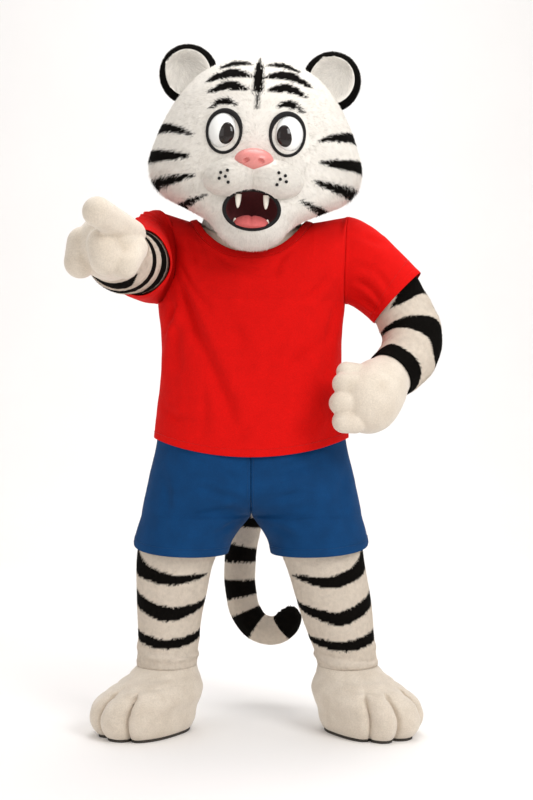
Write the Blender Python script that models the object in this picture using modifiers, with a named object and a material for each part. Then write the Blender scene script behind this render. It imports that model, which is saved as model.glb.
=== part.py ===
"""White tiger costume: a furry body suit with padded gloves, boots and tail, a foam head,
a red T-shirt and blue shorts, held in the pose of a wearer who isn't built.

Metres, +Z up. The costume faces -Y, and its wearer's left is +X. Heights in the tables are
above the floor; the origin is between the shoulders, where the wearer holds it up.
"""

import math
from collections import namedtuple

import bmesh
import bpy
import numpy as np
from mathutils import Euler, Matrix, Vector

# Driving sizes
ORIGIN_HEIGHT = 1.44
SEAM_GAP = 0.0003
SUIT_WALL = 0.003
SHIRT_WALL = 0.0016
SHORTS_WALL = 0.0018
RIB_WALL = 0.0018
HEAD_WALL = 0.012
BOOT_WALL = 0.013
SOLE_THICK = 0.006
GLOVE_WALL = 0.009
ROUNDNESS = 2.3
NEAR_SEAM = 0.9995
SEAM_STRIP = 0.002
RIGHT, LEFT = -1, 1
FRONT, BACK = -1, 1
SIDES = ((RIGHT, "right"), (LEFT, "left"))


class Table:
    """Sections of a form: a row for each section, a named column for each size."""

    def __init__(self, columns, rows):
        self.columns = columns.split()
        self.rows = np.array(sorted(rows), float)

    def at(self, column, place):
        """The column's size at a place along the first column, eased through the rows."""
        places = self.rows[:, 0]
        sizes = self.rows[:, self.columns.index(column)]
        place = min(max(place, places[0]), places[-1])
        slopes = np.gradient(sizes, places)
        i = min(int(np.searchsorted(places, place, side="right")) - 1, len(places) - 2)
        step = places[i + 1] - places[i]
        t = (place - places[i]) / step
        return float(
            (1 + 2 * t) * (1 - t) ** 2 * sizes[i]
            + t * (1 - t) ** 2 * step * slopes[i]
            + t * t * (3 - 2 * t) * sizes[i + 1]
            + t * t * (t - 1) * step * slopes[i + 1]
        )


# Upper body: half width, and depth of the front and the back
SUIT_BODY = Table("height half_width front back", [
    (0.930, 0.235, 0.165, 0.155),
    (1.100, 0.228, 0.160, 0.146),
    (1.200, 0.240, 0.155, 0.138),
    (1.330, 0.250, 0.142, 0.126),
    (1.450, 0.250, 0.120, 0.115),
])
SHIRT_BODY = Table("height half_width front back", [
    (0.768, 0.277, 0.188, 0.180),
    (0.880, 0.266, 0.184, 0.174),
    (1.000, 0.252, 0.180, 0.166),
    (1.100, 0.252, 0.176, 0.160),
    (1.200, 0.262, 0.171, 0.154),
    (1.330, 0.270, 0.157, 0.141),
    (1.450, 0.270, 0.132, 0.127),
])
# Lower body: the outline round both legs, then one leg's own oval below the crotch
SUIT_HIPS = Table("height half_width front back", [
    (0.600, 0.282, 0.130, 0.128),
    (0.700, 0.262, 0.150, 0.146),
    (0.780, 0.252, 0.158, 0.152),
    (0.930, 0.235, 0.165, 0.155),
])
SHORTS_HIPS = Table("height half_width front back", [
    (0.580, 0.310, 0.165, 0.160),
    (0.714, 0.284, 0.182, 0.174),
    (0.790, 0.266, 0.178, 0.170),
    (0.850, 0.257, 0.174, 0.165),
    (0.886, 0.2450, 0.1675, 0.1585),
])
SUIT_LEGS = {
    RIGHT: Table("height middle half_width depth", [
        (0.180, 0.2360, 0.0825, 0.0830),
        (0.220, 0.2350, 0.0830, 0.0850),
        (0.360, 0.2255, 0.0950, 0.0980),
        (0.490, 0.2070, 0.1130, 0.1120),
        (0.560, 0.1720, 0.1320, 0.1200),
        (0.620, 0.1415, 0.1412, 0.1250),
    ]),
    LEFT: Table("height middle half_width depth", [
        (0.180, 0.2680, 0.0830, 0.0830),
        (0.220, 0.2620, 0.0850, 0.0860),
        (0.307, 0.2420, 0.0985, 0.0960),
        (0.490, 0.1970, 0.1160, 0.1120),
        (0.560, 0.1680, 0.1320, 0.1200),
        (0.620, 0.1415, 0.1412, 0.1250),
    ]),
}
SHORTS_LEGS = {
    RIGHT: Table("height middle half_width depth", [
        (0.480, 0.2010, 0.1300, 0.1380),
        (0.530, 0.1900, 0.1370, 0.1420),
        (0.600, 0.1535, 0.1533, 0.1500),
    ]),
    LEFT: Table("height middle half_width depth", [
        (0.480, 0.1930, 0.1350, 0.1380),
        (0.530, 0.1850, 0.1400, 0.1420),
        (0.600, 0.1535, 0.1533, 0.1500),
    ]),
}
SUIT_CROTCH, SUIT_CROTCH_START = 0.618, 0.715
SHORTS_CROTCH, SHORTS_CROTCH_START = 0.600, 0.690
WAIST_SEAM = 0.930
LEG_ROWS = (0.886, 0.80, 0.72, 0.66, 0.635, SUIT_CROTCH, 0.57, 0.50, 0.41, 0.30)
LEG_HEM = 0.188
SHORTS_TOP, SHORTS_HEM, SHORTS_HEM_RISE = 0.886, 0.492, 0.030
LEG_COLUMNS = 8
BAND_TOP, BAND_LIFT, BAND_WALL = 0.926, 0.0007, 0.003

# Shoulder line: a height at the neck, and one at each arm's tip
NECK_X, NECK_HEIGHT, TIP_X = 0.140, 1.405, 0.250
TIP_HEIGHT = {RIGHT: 1.440, LEFT: 1.424}
ROUND_START = 1.330
ARMHOLE_ROWS = 6
TOP_ROW_EASE = 0.1
SHOULDER_EASE = 0.0029
ARMHOLE_GAP, TIP_CLEARANCE = 0.0010, 0.0010
SHIRT_REACH, SUIT_REACH = 0.36, 0.42

Body = namedtuple(
    "Body", "sections hem hem_side underarm armhole_depth inset lift neck_share neck_drop"
)
SUIT = Body(
    SUIT_BODY, {FRONT: WAIST_SEAM, BACK: WAIST_SEAM}, WAIST_SEAM, 1.206, 0.080,
    {(RIGHT, FRONT): 0.046, (RIGHT, BACK): 0.010, (LEFT, FRONT): 0.012, (LEFT, BACK): 0.010},
    0.0, 0.56, {FRONT: 0.045, BACK: 0.016},
)
SHIRT = Body(
    SHIRT_BODY, {FRONT: 0.768, BACK: 0.790}, 0.816, 1.190, 0.100,
    {(RIGHT, FRONT): 0.066, (RIGHT, BACK): 0.008, (LEFT, FRONT): 0.014, (LEFT, BACK): 0.008},
    SHIRT_WALL + SHOULDER_EASE, 0.637, {FRONT: 0.108, BACK: 0.024},
)
RIB_IN, RIB_LEAN, RIB_RISE, RIB_SIDE_RISE = 0.019, 0.008, 0.015, 0.003

# Columns of a panel, as shares of its half width
SHIRT_COLUMNS = (0, .20, .38, .515, .59, .625, .637, .77, .90, NEAR_SEAM, 1)
SUIT_COLUMNS = (0, .28, .46, .54, .56, .78, NEAR_SEAM, 1)

# Arms: places and radii along the middle, and the shirt's sleeve hems
Hem = namedtuple("Hem", "middle direction radius")
SLEEVE_HEMS = {
    RIGHT: Hem((-0.296, -0.238, 1.281), (-0.10, -0.99, -0.06), 0.0945),
    LEFT: Hem((0.4085, -0.012, 1.2045), (0.72, -0.10, -0.68), 0.0960),
}
ARM_STARTS = {
    RIGHT: Hem((-0.298, -0.215, 1.284), (-0.10, -0.99, -0.06), 0.0835),
    LEFT: Hem((0.396, -0.008, 1.218), (0.42, -0.10, -0.90), 0.0800),
}
ARM_STATIONS = {
    RIGHT: Table("step x y z radius", [
        (0, -0.298, -0.215, 1.284, 0.0835),
        (1, -0.318, -0.330, 1.273, 0.0825),
        (2, -0.327, -0.430, 1.276, 0.0785),
        (3, -0.330, -0.510, 1.283, 0.0715),
    ]),
    LEFT: Table("step x y z radius", [
        (0, 0.396, -0.008, 1.218, 0.0800),
        (1, 0.430, -0.018, 1.150, 0.0820),
        (2, 0.446, -0.042, 1.090, 0.0830),
        (3, 0.424, -0.085, 1.030, 0.0780),
        (4, 0.374, -0.137, 0.985, 0.0690),
    ]),
}

# Folds pressed into the shirt and the shorts: a ridge from one place to another
Fold = namedtuple("Fold", "x0 z0 x1 z1 width depth")
FOLD_FADE = 0.060
SHIRT_FOLDS = (
    Fold(-0.215, 1.300, -0.090, 1.170, 0.022, 0.007),
    Fold(-0.235, 1.250, -0.130, 1.080, 0.022, 0.007),
    Fold(-0.245, 1.200, -0.200, 1.000, 0.024, 0.006),
    Fold(0.240, 1.230, 0.130, 1.120, 0.022, 0.005),
    Fold(0.245, 1.180, 0.190, 0.990, 0.024, 0.005),
    Fold(-0.200, 0.860, -0.080, 0.920, 0.024, 0.004),
    Fold(0.210, 0.880, 0.060, 0.930, 0.024, 0.004),
)
SHIRT_BACK_FOLDS = (
    Fold(-0.235, 1.250, -0.100, 1.120, 0.024, 0.006),
    Fold(0.235, 1.240, 0.110, 1.110, 0.024, 0.006),
    Fold(-0.150, 0.930, 0.080, 0.960, 0.026, 0.005),
)
SHORTS_FOLDS = (
    Fold(0.012, 0.640, 0.120, 0.700, 0.018, 0.005),
    Fold(0.020, 0.610, 0.190, 0.640, 0.018, 0.005),
    Fold(0.050, 0.580, 0.200, 0.560, 0.018, 0.004),
)

# Tail: places and radii along its middle, from the suit's back to the tip
TAIL = Table("step x y z radius", [
    (0, 0.000, 0.150, 0.722, 0.0480),
    (1, 0.000, 0.215, 0.700, 0.0490),
    (2, -0.005, 0.270, 0.635, 0.0490),
    (3, -0.020, 0.292, 0.550, 0.0480),
    (4, -0.038, 0.290, 0.440, 0.0470),
    (5, -0.036, 0.285, 0.340, 0.0460),
    (6, -0.014, 0.275, 0.270, 0.0450),
    (7, 0.030, 0.265, 0.231, 0.0430),
    (8, 0.080, 0.257, 0.232, 0.0415),
    (9, 0.108, 0.252, 0.262, 0.0385),
    (10, 0.114, 0.250, 0.285, 0.0290),
    (11, 0.115, 0.250, 0.300, 0.0120),
])
TAIL_HOLE_CLEARANCE = 0.0022

# Boots, seen from above in their own frame, toes towards -Y
BOOT = Table("height half_width front back", [
    (0.0063, 0.118, 0.180, 0.094),
    (0.030, 0.132, 0.198, 0.102),
    (0.070, 0.138, 0.205, 0.104),
    (0.105, 0.132, 0.194, 0.100),
    (0.135, 0.114, 0.158, 0.093),
    (0.158, 0.094, 0.116, 0.087),
])
Boot = namedtuple("Boot", "foot turn grooves groove_depth")
BOOTS = {
    RIGHT: Boot((-0.276, 0.004), -34.0, (-25.0, 7.5), 0.085),
    LEFT: Boot((0.307, 0.000), 34.0, (-28.0, 3.0, 35.0), 0.075),
}
HEEL_NARROWING = 0.16
DRIFT_START, DRIFT_END = 0.050, 0.158
TOE_STEP, TOE_RANGE = 9.5, 57.0

SHAFT_BOTTOM, SHAFT_TOP, SHAFT_CLEARANCE = 0.180, 0.235, 0.0022

# Head, in its own frame: half width, front and back at each height
HEAD_PLACE, HEAD_TURN = (0.014, -0.060, 1.604), (4.0, 3.0, 0.0)
HEAD = Table("height half_width front back", [
    (-0.272, 0.044, 0.236, -0.176),
    (-0.254, 0.074, 0.254, -0.140),
    (-0.228, 0.096, 0.268, -0.100),
    (-0.200, 0.124, 0.272, -0.010),
    (-0.170, 0.178, 0.268, 0.075),
    (-0.140, 0.236, 0.258, 0.150),
    (-0.100, 0.276, 0.248, 0.200),
    (-0.050, 0.292, 0.242, 0.232),
    (0.020, 0.276, 0.238, 0.246),
    (0.090, 0.246, 0.226, 0.236),
    (0.150, 0.208, 0.203, 0.204),
    (0.200, 0.160, 0.164, 0.163),
    (0.232, 0.108, 0.115, 0.112),
])
HEAD_TOP, HEAD_BOTTOM = 0.250, -0.279
NECK_TOP, NECK_TOP_RADIUS, NECK_TOP_Y = 1.500, 0.112, -0.028
NECK_CLEARANCE = 0.0006
MOUTH_MIDDLE, MOUTH_HALF = (0.0, -0.262, -0.178), (0.072, 0.060, 0.052)
MOUTH_WALL = 0.0025
EAR_X, EAR_Z, EAR_RADII = 0.196, 0.200, (0.080, 0.034, 0.084)
EYE_RADII = (0.043, 0.040, 0.053)

COLOURS = {
    "fur_cream": ((0.62, 0.55, 0.46), 0.9),
    "fur_white": ((0.80, 0.78, 0.74), 0.9),
    "fur_black": ((0.012, 0.012, 0.014), 0.85),
    "shirt_jersey": ((0.74, 0.014, 0.010), 0.8),
    "shorts_twill": ((0.006, 0.075, 0.20), 0.75),
    "plush_cream": ((0.66, 0.56, 0.45), 0.85),
    "sole_rubber": ((0.35, 0.31, 0.27), 0.7),
    "eye_white": ((0.85, 0.85, 0.83), 0.25),
    "iris_brown": ((0.05, 0.025, 0.015), 0.2),
    "nose_vinyl": ((0.72, 0.19, 0.17), 0.45),
    "mouth_dark": ((0.05, 0.008, 0.008), 0.6),
    "tongue_pink": ((0.60, 0.10, 0.09), 0.5),
    "tooth_white": ((0.85, 0.82, 0.75), 0.35),
}


def scene_start():
    """Empties the file and makes the two collections and the costume's own frame."""
    for item in list(bpy.data.objects):
        bpy.data.objects.remove(item, do_unlink=True)
    for name in ("tiger_costume", "cutters"):
        bpy.context.scene.collection.children.link(bpy.data.collections.new(name))
    frame = bpy.data.objects.new("costume_frame", None)
    frame.location = (0, 0, -ORIGIN_HEIGHT)
    bpy.data.collections["tiger_costume"].objects.link(frame)
    head = bpy.data.objects.new("head_frame", None)
    head.location = HEAD_PLACE
    head.rotation_euler = Euler([math.radians(a) for a in HEAD_TURN])
    head.parent = frame
    bpy.data.collections["tiger_costume"].objects.link(head)
    for name, (colour, roughness) in COLOURS.items():
        material = bpy.data.materials.new(name)
        material.use_nodes = True
        shader = material.node_tree.nodes["Principled BSDF"]
        shader.inputs["Base Color"].default_value = (*colour, 1)
        shader.inputs["Roughness"].default_value = roughness
        shader.inputs["Metallic"].default_value = 0.0
        material.diffuse_color = (*colour, 1)


def add_object(name, mesh, material=None, parent="costume_frame"):
    """Links a mesh as a part, or as a cutter when it has no material."""
    item = bpy.data.objects.new(name, mesh)
    item.parent = bpy.data.objects[parent]
    if material:
        mesh.materials.append(bpy.data.materials[material])
        bpy.data.collections["tiger_costume"].objects.link(item)
    else:
        item.hide_render = True
        item.display_type = "WIRE"
        bpy.data.collections["cutters"].objects.link(item)
    mesh.shade_smooth()
    return item


def loft(name, rows, material=None, wall=0.0, closed=False, joined_from=None,
         start=None, end=None, parent="costume_frame"):
    """A surface through rows of points, with a wall inside it or as a closed solid.

    closed joins each row's ends, joined_from does so from that row on, start and end are
    poles that close a ring, or True for a flat cap.
    """
    shape = bmesh.new()
    grid = []
    for number, row in enumerate(rows):
        made = [shape.verts.new(point) for point in row]
        if joined_from is not None and number >= joined_from:
            shape.verts.remove(made[-1])
            made[-1] = made[0]
        grid.append(made)
    for low, high in zip(grid, grid[1:]):
        count = len(low) if closed else len(low) - 1
        for i in range(count):
            j = (i + 1) % len(low)
            for corners in ([low[i], low[j], high[j]], [low[i], high[j], high[i]]):
                if len(set(corners)) == 3:
                    shape.faces.new(corners)
    for ring, pole in ((grid[0], start), (grid[-1], end)):
        if pole is True:
            shape.faces.new(ring)
        elif pole is not None:
            tip = shape.verts.new(pole)
            for i, corner in enumerate(ring):
                shape.faces.new([corner, ring[(i + 1) % len(ring)], tip])
    bmesh.ops.recalc_face_normals(shape, faces=shape.faces)
    middle = sum((v.co for v in shape.verts), Vector()) / len(shape.verts)
    outward = sum(
        face.normal.dot(face.calc_center_median() - middle) * face.calc_area() for face in shape.faces
    )
    if outward < 0:
        bmesh.ops.reverse_faces(shape, faces=shape.faces)
    mesh = bpy.data.meshes.new(name)
    shape.to_mesh(mesh)
    shape.free()
    item = add_object(name, mesh, material, parent)
    if wall:
        solidify(item, wall)
    return item


def solidify(item, wall):
    """Gives a surface its wall, inwards from the outer face."""
    modifier = item.modifiers.new("wall", "SOLIDIFY")
    modifier.thickness = wall
    modifier.offset = -1.0
    modifier.use_quality_normals = True


def boolean(item, other, operation="DIFFERENCE"):
    """Cuts, joins or trims a part with another object."""
    modifier = item.modifiers.new(operation.lower(), "BOOLEAN")
    modifier.operation = operation
    modifier.object = other
    modifier.solver = "EXACT"


def ellipsoid(name, middle, radii, material=None, turn=(0, 0, 0), parent="head_frame",
              segments=16, rings=9):
    """A sphere primitive stretched to three radii, turned and placed."""
    shape = bmesh.new()
    bmesh.ops.create_uvsphere(shape, u_segments=segments, v_segments=rings, radius=1.0)
    bmesh.ops.scale(shape, vec=radii, verts=shape.verts)
    mesh = bpy.data.meshes.new(name)
    shape.to_mesh(mesh)
    shape.free()
    item = add_object(name, mesh, material, parent)
    item.location = middle
    item.rotation_euler = Euler([math.radians(a) for a in turn])
    return item


def capsule(name, start, end, radius, material=None, segments=8, rings=5):
    """A round-ended finger from one place to another: a sphere with its halves drawn apart."""
    start, end = Vector(start), Vector(end)
    axis = end - start
    shape = bmesh.new()
    bmesh.ops.create_uvsphere(shape, u_segments=segments, v_segments=rings, radius=radius)
    for vert in shape.verts:
        if vert.co.z > 0:
            vert.co.z += axis.length
    mesh = bpy.data.meshes.new(name)
    shape.to_mesh(mesh)
    shape.free()
    item = add_object(name, mesh, material)
    item.matrix_local = Matrix.Translation(start) @ axis.to_track_quat("Z", "Y").to_matrix().to_4x4()
    return item


def super_round(share):
    """Depth left at a share of the half width, on a rounded box outline."""
    return max(0.0, 1 - abs(share) ** ROUNDNESS) ** (1 / ROUNDNESS)


def fold_height(folds, x, z):
    """How far the folds push the cloth out at a place of the front or back."""
    height = 0.0
    for fold in folds:
        run = Vector((fold.x1 - fold.x0, fold.z1 - fold.z0))
        at = Vector((x - fold.x0, z - fold.z0))
        along = min(max(at.dot(run) / run.length_squared, 0.0), 1.0)
        away = (at - along * run).length
        fade = math.sin(math.pi * min(0.5 + along * 0.5, 1.0))
        height += fold.depth * fade * math.exp(-((away / fold.width) ** 2))
    return height


def shoulder_height(body, x):
    """Height of the shoulder line over a place across the body."""
    side = RIGHT if x < 0 else LEFT
    along = max(0.0, (abs(x) - NECK_X) / (TIP_X - NECK_X))
    return NECK_HEIGHT + (TIP_HEIGHT[side] - NECK_HEIGHT) * along + body.lift


def body_depth(body, height, top, face):
    """Depth of the front or back, rounded over towards the shoulder line."""
    column = "front" if face == FRONT else "back"
    if height <= ROUND_START:
        return body.sections.at(column, height)
    share = min((height - ROUND_START) / (top - ROUND_START), 1.0)
    return body.sections.at(column, ROUND_START) * math.sqrt(1 - share * share)


def armhole_turns():
    """Angles of the armhole's rows, from the underarm to the shoulder's tip."""
    steps = [*range(1, ARMHOLE_ROWS), ARMHOLE_ROWS - TOP_ROW_EASE, ARMHOLE_ROWS]
    return [math.pi * step / ARMHOLE_ROWS for step in steps]


def across_body(body, share, height, face, turn):
    """Place across the body, drawn in towards an armhole between underarm and tip."""
    side = RIGHT if share < 0 else LEFT
    beside = max(0.0, (abs(share) - body.neck_share) / (1 - body.neck_share))
    drawn_in = body.inset[side, face] * math.sin(turn) * beside
    return share * body.sections.at("half_width", height) - side * drawn_in


def body_point(body, share, turn, top, face):
    """A point of the upper body at a share of its width and an angle up the armhole."""
    height = body.underarm + (top - body.underarm) * (1 - math.cos(turn)) / 2
    x = across_body(body, share, height, face, turn)
    line = shoulder_height(body, share * body.sections.at("half_width", TIP_HEIGHT[LEFT]))
    depth = body_depth(body, height, line, face)
    edge = body.armhole_depth * math.sin(turn)
    y = edge + (depth - edge) * super_round(share)
    return Vector((x, face * max(y, 0.8 * SEAM_GAP), height))


def neckline_height(body, share, face, drop=None):
    """Top of a panel at a share of its width: the shoulder line, dipping to the neckline."""
    half = body.sections.at("half_width", TIP_HEIGHT[LEFT])
    line = shoulder_height(body, share * half)
    if abs(share) >= body.neck_share:
        return line
    drop = body.neck_drop[face] if drop is None else drop
    return line - drop * (1 - abs(share / body.neck_share) ** 2.5)


def body_rows(body, columns, face, lower_rows, folds=()):
    """Rows of a front or back panel, from the hem to the neckline and shoulders."""
    shares = [-c for c in reversed(columns[1:])] + list(columns)
    rows = []
    for number in range(lower_rows + 1):
        row = []
        for share in shares:
            hem = body.hem[face] + (body.hem_side - body.hem[face]) * share * share
            height = hem + (body.underarm - hem) * number / lower_rows
            x = share * body.sections.at("half_width", height)
            y = body_depth(body, height, 2.0, face) * super_round(share)
            row.append(Vector((x, face * max(y, SEAM_GAP / 2), height)))
        rows.append(row)
    for turn in armhole_turns():
        rows.append([body_point(body, s, turn, neckline_height(body, s, face), face) for s in shares])
    for row in rows:
        for share, point, top in zip(shares, row, rows[-1]):
            fade = min((top.z - point.z) / FOLD_FADE, 1.0) * super_round(share)
            point.y += face * fade * fold_height(folds, point.x, point.z)
    return rows


def armhole_ring(body, side):
    """Points round an armhole: underarm, up the front, shoulder tip, down the back."""
    top = shoulder_height(body, side * body.sections.at("half_width", TIP_HEIGHT[LEFT]))
    turns = armhole_turns()
    start = Vector((side * body.sections.at("half_width", body.underarm), 0, body.underarm))
    front = [body_point(body, side, turn, top, FRONT) for turn in turns]
    back = [body_point(body, side, turn, top, BACK) for turn in turns[:-1]]
    front[-1].y = 0
    front[-1].x += side * TIP_CLEARANCE
    ring = [start, *front, *reversed(back)]
    return [point + Vector((side * ARMHOLE_GAP, 0, 0)) for point in ring]


def ring_turns():
    """Angle of each armhole point round the arm, from the underarm by way of the front."""
    turns = armhole_turns()
    return [0.0, *turns, *[2 * math.pi - turn for turn in reversed(turns[:-1])]]


def arm_ring(middle, direction, radius, side):
    """A round section of an arm, its points in the order of the armhole's."""
    turn = Vector((side, 0, 0)).rotation_difference(Vector(direction).normalized())
    down, front = turn @ Vector((0, 0, -1)), turn @ Vector((0, -1, 0))
    return [
        Vector(middle) + radius * (math.cos(a) * down + math.sin(a) * front) for a in ring_turns()
    ]


def shoulder_rows(body, hem, side, count, reach):
    """Rows of a sleeve's shoulder, from the armhole to a round section, on smooth curves."""
    ring = armhole_ring(body, side)
    target = arm_ring(hem.middle, hem.direction, hem.radius, side)
    out, along = Vector((side, 0, 0)), Vector(hem.direction).normalized()
    rows = []
    for number in range(count + 1):
        t = number / count
        row = []
        for a, b in zip(ring, target):
            pull = reach * (b - a).length
            row.append(
                (1 + 2 * t) * (1 - t) ** 2 * a
                + t * (1 - t) ** 2 * pull * 2 * out
                + t * t * (3 - 2 * t) * b
                + t * t * (t - 1) * pull * 2 * along
            )
        rows.append(row)
    rows.insert(1, [point + out * SEAM_STRIP for point in ring])
    return rows


def path_rings(table, side, steps, skip_first=True):
    """Round sections along a table's middle line, each square to the line."""
    last = table.rows[-1][0]
    rings = []
    for step in np.linspace(0, last, steps + 1)[1 if skip_first else 0:]:
        here = Vector([table.at(c, step) for c in "xyz"])
        ahead = Vector([table.at(c, min(step + 0.05, last)) for c in "xyz"])
        behind = Vector([table.at(c, max(step - 0.05, 0)) for c in "xyz"])
        rings.append(arm_ring(here, ahead - behind, table.at("radius", step), side))
    return rings


def build_shirt():
    """T-shirt: two panels, two set-in sleeves and the rib at the neck."""
    front = body_rows(SHIRT, SHIRT_COLUMNS, FRONT, 6, SHIRT_FOLDS)
    loft("shirt_front", front, "shirt_jersey", SHIRT_WALL)
    back = body_rows(SHIRT, SHIRT_COLUMNS, BACK, 4, SHIRT_BACK_FOLDS)
    loft("shirt_back", back, "shirt_jersey", SHIRT_WALL)
    for side, name in ((RIGHT, "shirt_sleeve_right"), (LEFT, "shirt_sleeve_left")):
        rows = shoulder_rows(SHIRT, SLEEVE_HEMS[side], side, 5, SHIRT_REACH)
        loft(name, rows, "shirt_jersey", SHIRT_WALL, closed=True)
    build_neck_rib()


def neck_edge(body, columns):
    """The neckline's points as share, face and place, from right to left and round the back."""
    inner = [c for c in columns if c < body.neck_share]
    front = sorted({*inner, *[-c for c in inner]})
    around = [(-body.neck_share, FRONT), *[(s, FRONT) for s in front]]
    around += [(body.neck_share, BACK), *[(s, BACK) for s in reversed(front)]]
    edge = []
    for share, face in around:
        point = body_point(body, share, math.pi, neckline_height(body, share, face), face)
        if abs(share) == body.neck_share:
            point.y = 0
        edge.append((share, face, point))
    return edge


def build_neck_rib():
    """The rib: a band inside the neckline, from its points and on the same rounded form."""
    outer, inner = [], []
    for share, face, point in neck_edge(SHIRT, SHIRT_COLUMNS):
        across = share / SHIRT.neck_share
        ahead = math.sqrt(1 - across * across)
        step = Vector((-RIB_IN * across, -face * RIB_LEAN * ahead, RIB_SIDE_RISE + RIB_RISE * ahead))
        outer.append(point)
        inner.append(point + step)
    rows = []
    for part in (None, 0.5, 1.0):
        row = []
        for start, target in zip(outer, inner):
            away = target - start
            row.append(start + away * part if part else start + away.normalized() * SEAM_GAP * 1.3)
        rows.append(row)
    loft("shirt_neck_rib", rows, "shirt_jersey", RIB_WALL, closed=True)


def hip_point(hips, legs, crotch, crotch_start, side, around, height):
    """A point of a leg: around runs 0 at the front middle, 1 at the outer side, 2 at the back."""
    face = FRONT if around <= 1 else BACK
    share = around if around <= 1 else 2 - around
    depth = hips.at("front" if face == FRONT else "back", max(height, crotch))
    turn = share * math.pi / 2
    hip_x = hips.at("half_width", max(height, crotch)) * math.sin(turn) ** (2 / ROUNDNESS)
    hip_y = depth * max(math.cos(turn), 0.0) ** (2 / ROUNDNESS)
    leg = min(height, crotch)
    leg_x = legs[side].at("middle", leg) - legs[side].at("half_width", leg) * math.cos(2 * turn)
    leg_y = legs[side].at("depth", leg) * math.sin(2 * turn)
    below = min(max((crotch_start - height) / (crotch_start - crotch), 0.0), 1.0)
    blend = 1 - math.sqrt(1 - below * below)
    x = hip_x + (leg_x - hip_x) * blend
    y = hip_y + (leg_y - hip_y) * blend
    half_gap = 0.75 * SEAM_GAP
    return Vector((side * max(x, half_gap), face * max(y, half_gap), height))


def suit_hip_point(side, around, height):
    """A point of the suit's leg, at a place round it and a height."""
    return hip_point(SUIT_HIPS, SUIT_LEGS, SUIT_CROTCH, SUIT_CROTCH_START, side, around, height)


def build_shorts():
    """Shorts: four panels with seams at the front, back, sides and inner legs, and a waistband."""
    columns = (0, .012, .13, .27, .42, .57, .72, .86, .988, 1)
    shares = (0, .16, .33, .5, .61, .72, .83, .92, 1)
    for side, hand in SIDES:
        for face, place in ((FRONT, "front"), (BACK, "back")):
            rows = []
            for share in shares:
                row = []
                for column in columns:
                    hem = SHORTS_HEM + SHORTS_HEM_RISE * column**3
                    height = SHORTS_TOP - (SHORTS_TOP - hem) * share
                    around = column if face == FRONT else 2 - column
                    point = hip_point(
                        SHORTS_HIPS, SHORTS_LEGS, SHORTS_CROTCH, SHORTS_CROTCH_START,
                        side, around, height,
                    )
                    soft = math.sin(math.pi * column) * (1 - share**6)
                    depth = abs(point.y) + soft * fold_height(SHORTS_FOLDS, abs(point.x), height)
                    point.y = face * depth
                    row.append(point)
                rows.append(row)
            panel = loft(f"shorts_{place}_{hand}", rows, "shorts_twill", SHORTS_WALL)
            if face == BACK:
                boolean(panel, bpy.data.objects["tail_hole_cutter"])
    rows = []
    for height in (SHORTS_TOP + SEAM_GAP, BAND_TOP):
        ring = []
        for number in range(4 * LEG_COLUMNS):
            around = number / LEG_COLUMNS
            side, here = (LEFT, around) if around <= 2 else (RIGHT, 4 - around)
            point = suit_hip_point(side, here, height)
            out = Vector((point.x, point.y, 0)).normalized()
            ring.append(point + out * (BAND_LIFT + BAND_WALL))
        rows.append(ring)
    loft("shorts_waistband", rows, "shorts_twill", BAND_WALL, closed=True)


def build_suit():
    """Body suit: front, back, neck, two sleeves to the wrists and two legs to the boots."""
    for face, name in ((FRONT, "suit_front"), (BACK, "suit_back")):
        loft(name, body_rows(SUIT, SUIT_COLUMNS, face, 2), "fur_cream", SUIT_WALL)
    build_neck()
    for side, name in ((RIGHT, "suit_sleeve_right"), (LEFT, "suit_sleeve_left")):
        rows = shoulder_rows(SUIT, ARM_STARTS[side], side, 4, SUIT_REACH)
        rows += path_rings(ARM_STATIONS[side], side, 5 if side == RIGHT else 7)
        loft(name, rows, "fur_cream", SUIT_WALL, closed=True)
    heights = (WAIST_SEAM - 2 * SEAM_GAP, *LEG_ROWS, LEG_HEM)
    for side, name in ((RIGHT, "suit_leg_right"), (LEFT, "suit_leg_left")):
        rows = []
        for height in heights:
            arounds = [column / LEG_COLUMNS for column in range(2 * LEG_COLUMNS + 1)]
            rows.append([suit_hip_point(side, around, height) for around in arounds])
        joined = heights.index(SUIT_CROTCH)
        for row in rows[joined:]:
            row[0].y = 0
        loft(name, rows, "fur_cream", SUIT_WALL, joined_from=joined)


def neck_rows(grow=0.0):
    """Rows of the neck's tube, from the suit's neckline up into the head, grown by a distance."""
    ring = [point + Vector((0, 0, SEAM_GAP * 3)) for _, _, point in neck_edge(SUIT, SUIT_COLUMNS)]
    middle = Vector((0, NECK_TOP_Y, 0))
    top = []
    for point in ring:
        out = Vector((point.x, point.y - NECK_TOP_Y, 0)).normalized()
        top.append(middle + out * NECK_TOP_RADIUS + Vector((0, 0, NECK_TOP)))
    rows = [ring, [point + Vector((0, 0, SEAM_STRIP)) for point in ring], top]
    for row in rows:
        for i, point in enumerate(row):
            row[i] = point + Vector((point.x, point.y - NECK_TOP_Y, 0)).normalized() * grow
    return rows


def build_neck():
    """The suit's neck, and the cutter for its hole in the head."""
    loft("suit_neck", neck_rows(), "fur_white", SUIT_WALL, closed=True)
    rows = neck_rows(NECK_CLEARANCE)
    below = [Vector((p.x, p.y, p.z - 0.08)) for p in rows[0]]
    above = [Vector((p.x, p.y, p.z + 0.03)) for p in rows[-1]]
    loft("neck_cutter", [below, *rows, above], closed=True, start=True, end=True)


def suit_back_at(x, height):
    """How far back the suit's seat is at a place across it and a height."""
    low, high = 1.0, 2.0
    for _ in range(24):
        around = (low + high) / 2
        point = suit_hip_point(LEFT, around, height)
        if point.x > abs(x):
            low = around
        else:
            high = around
    return point.y


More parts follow.
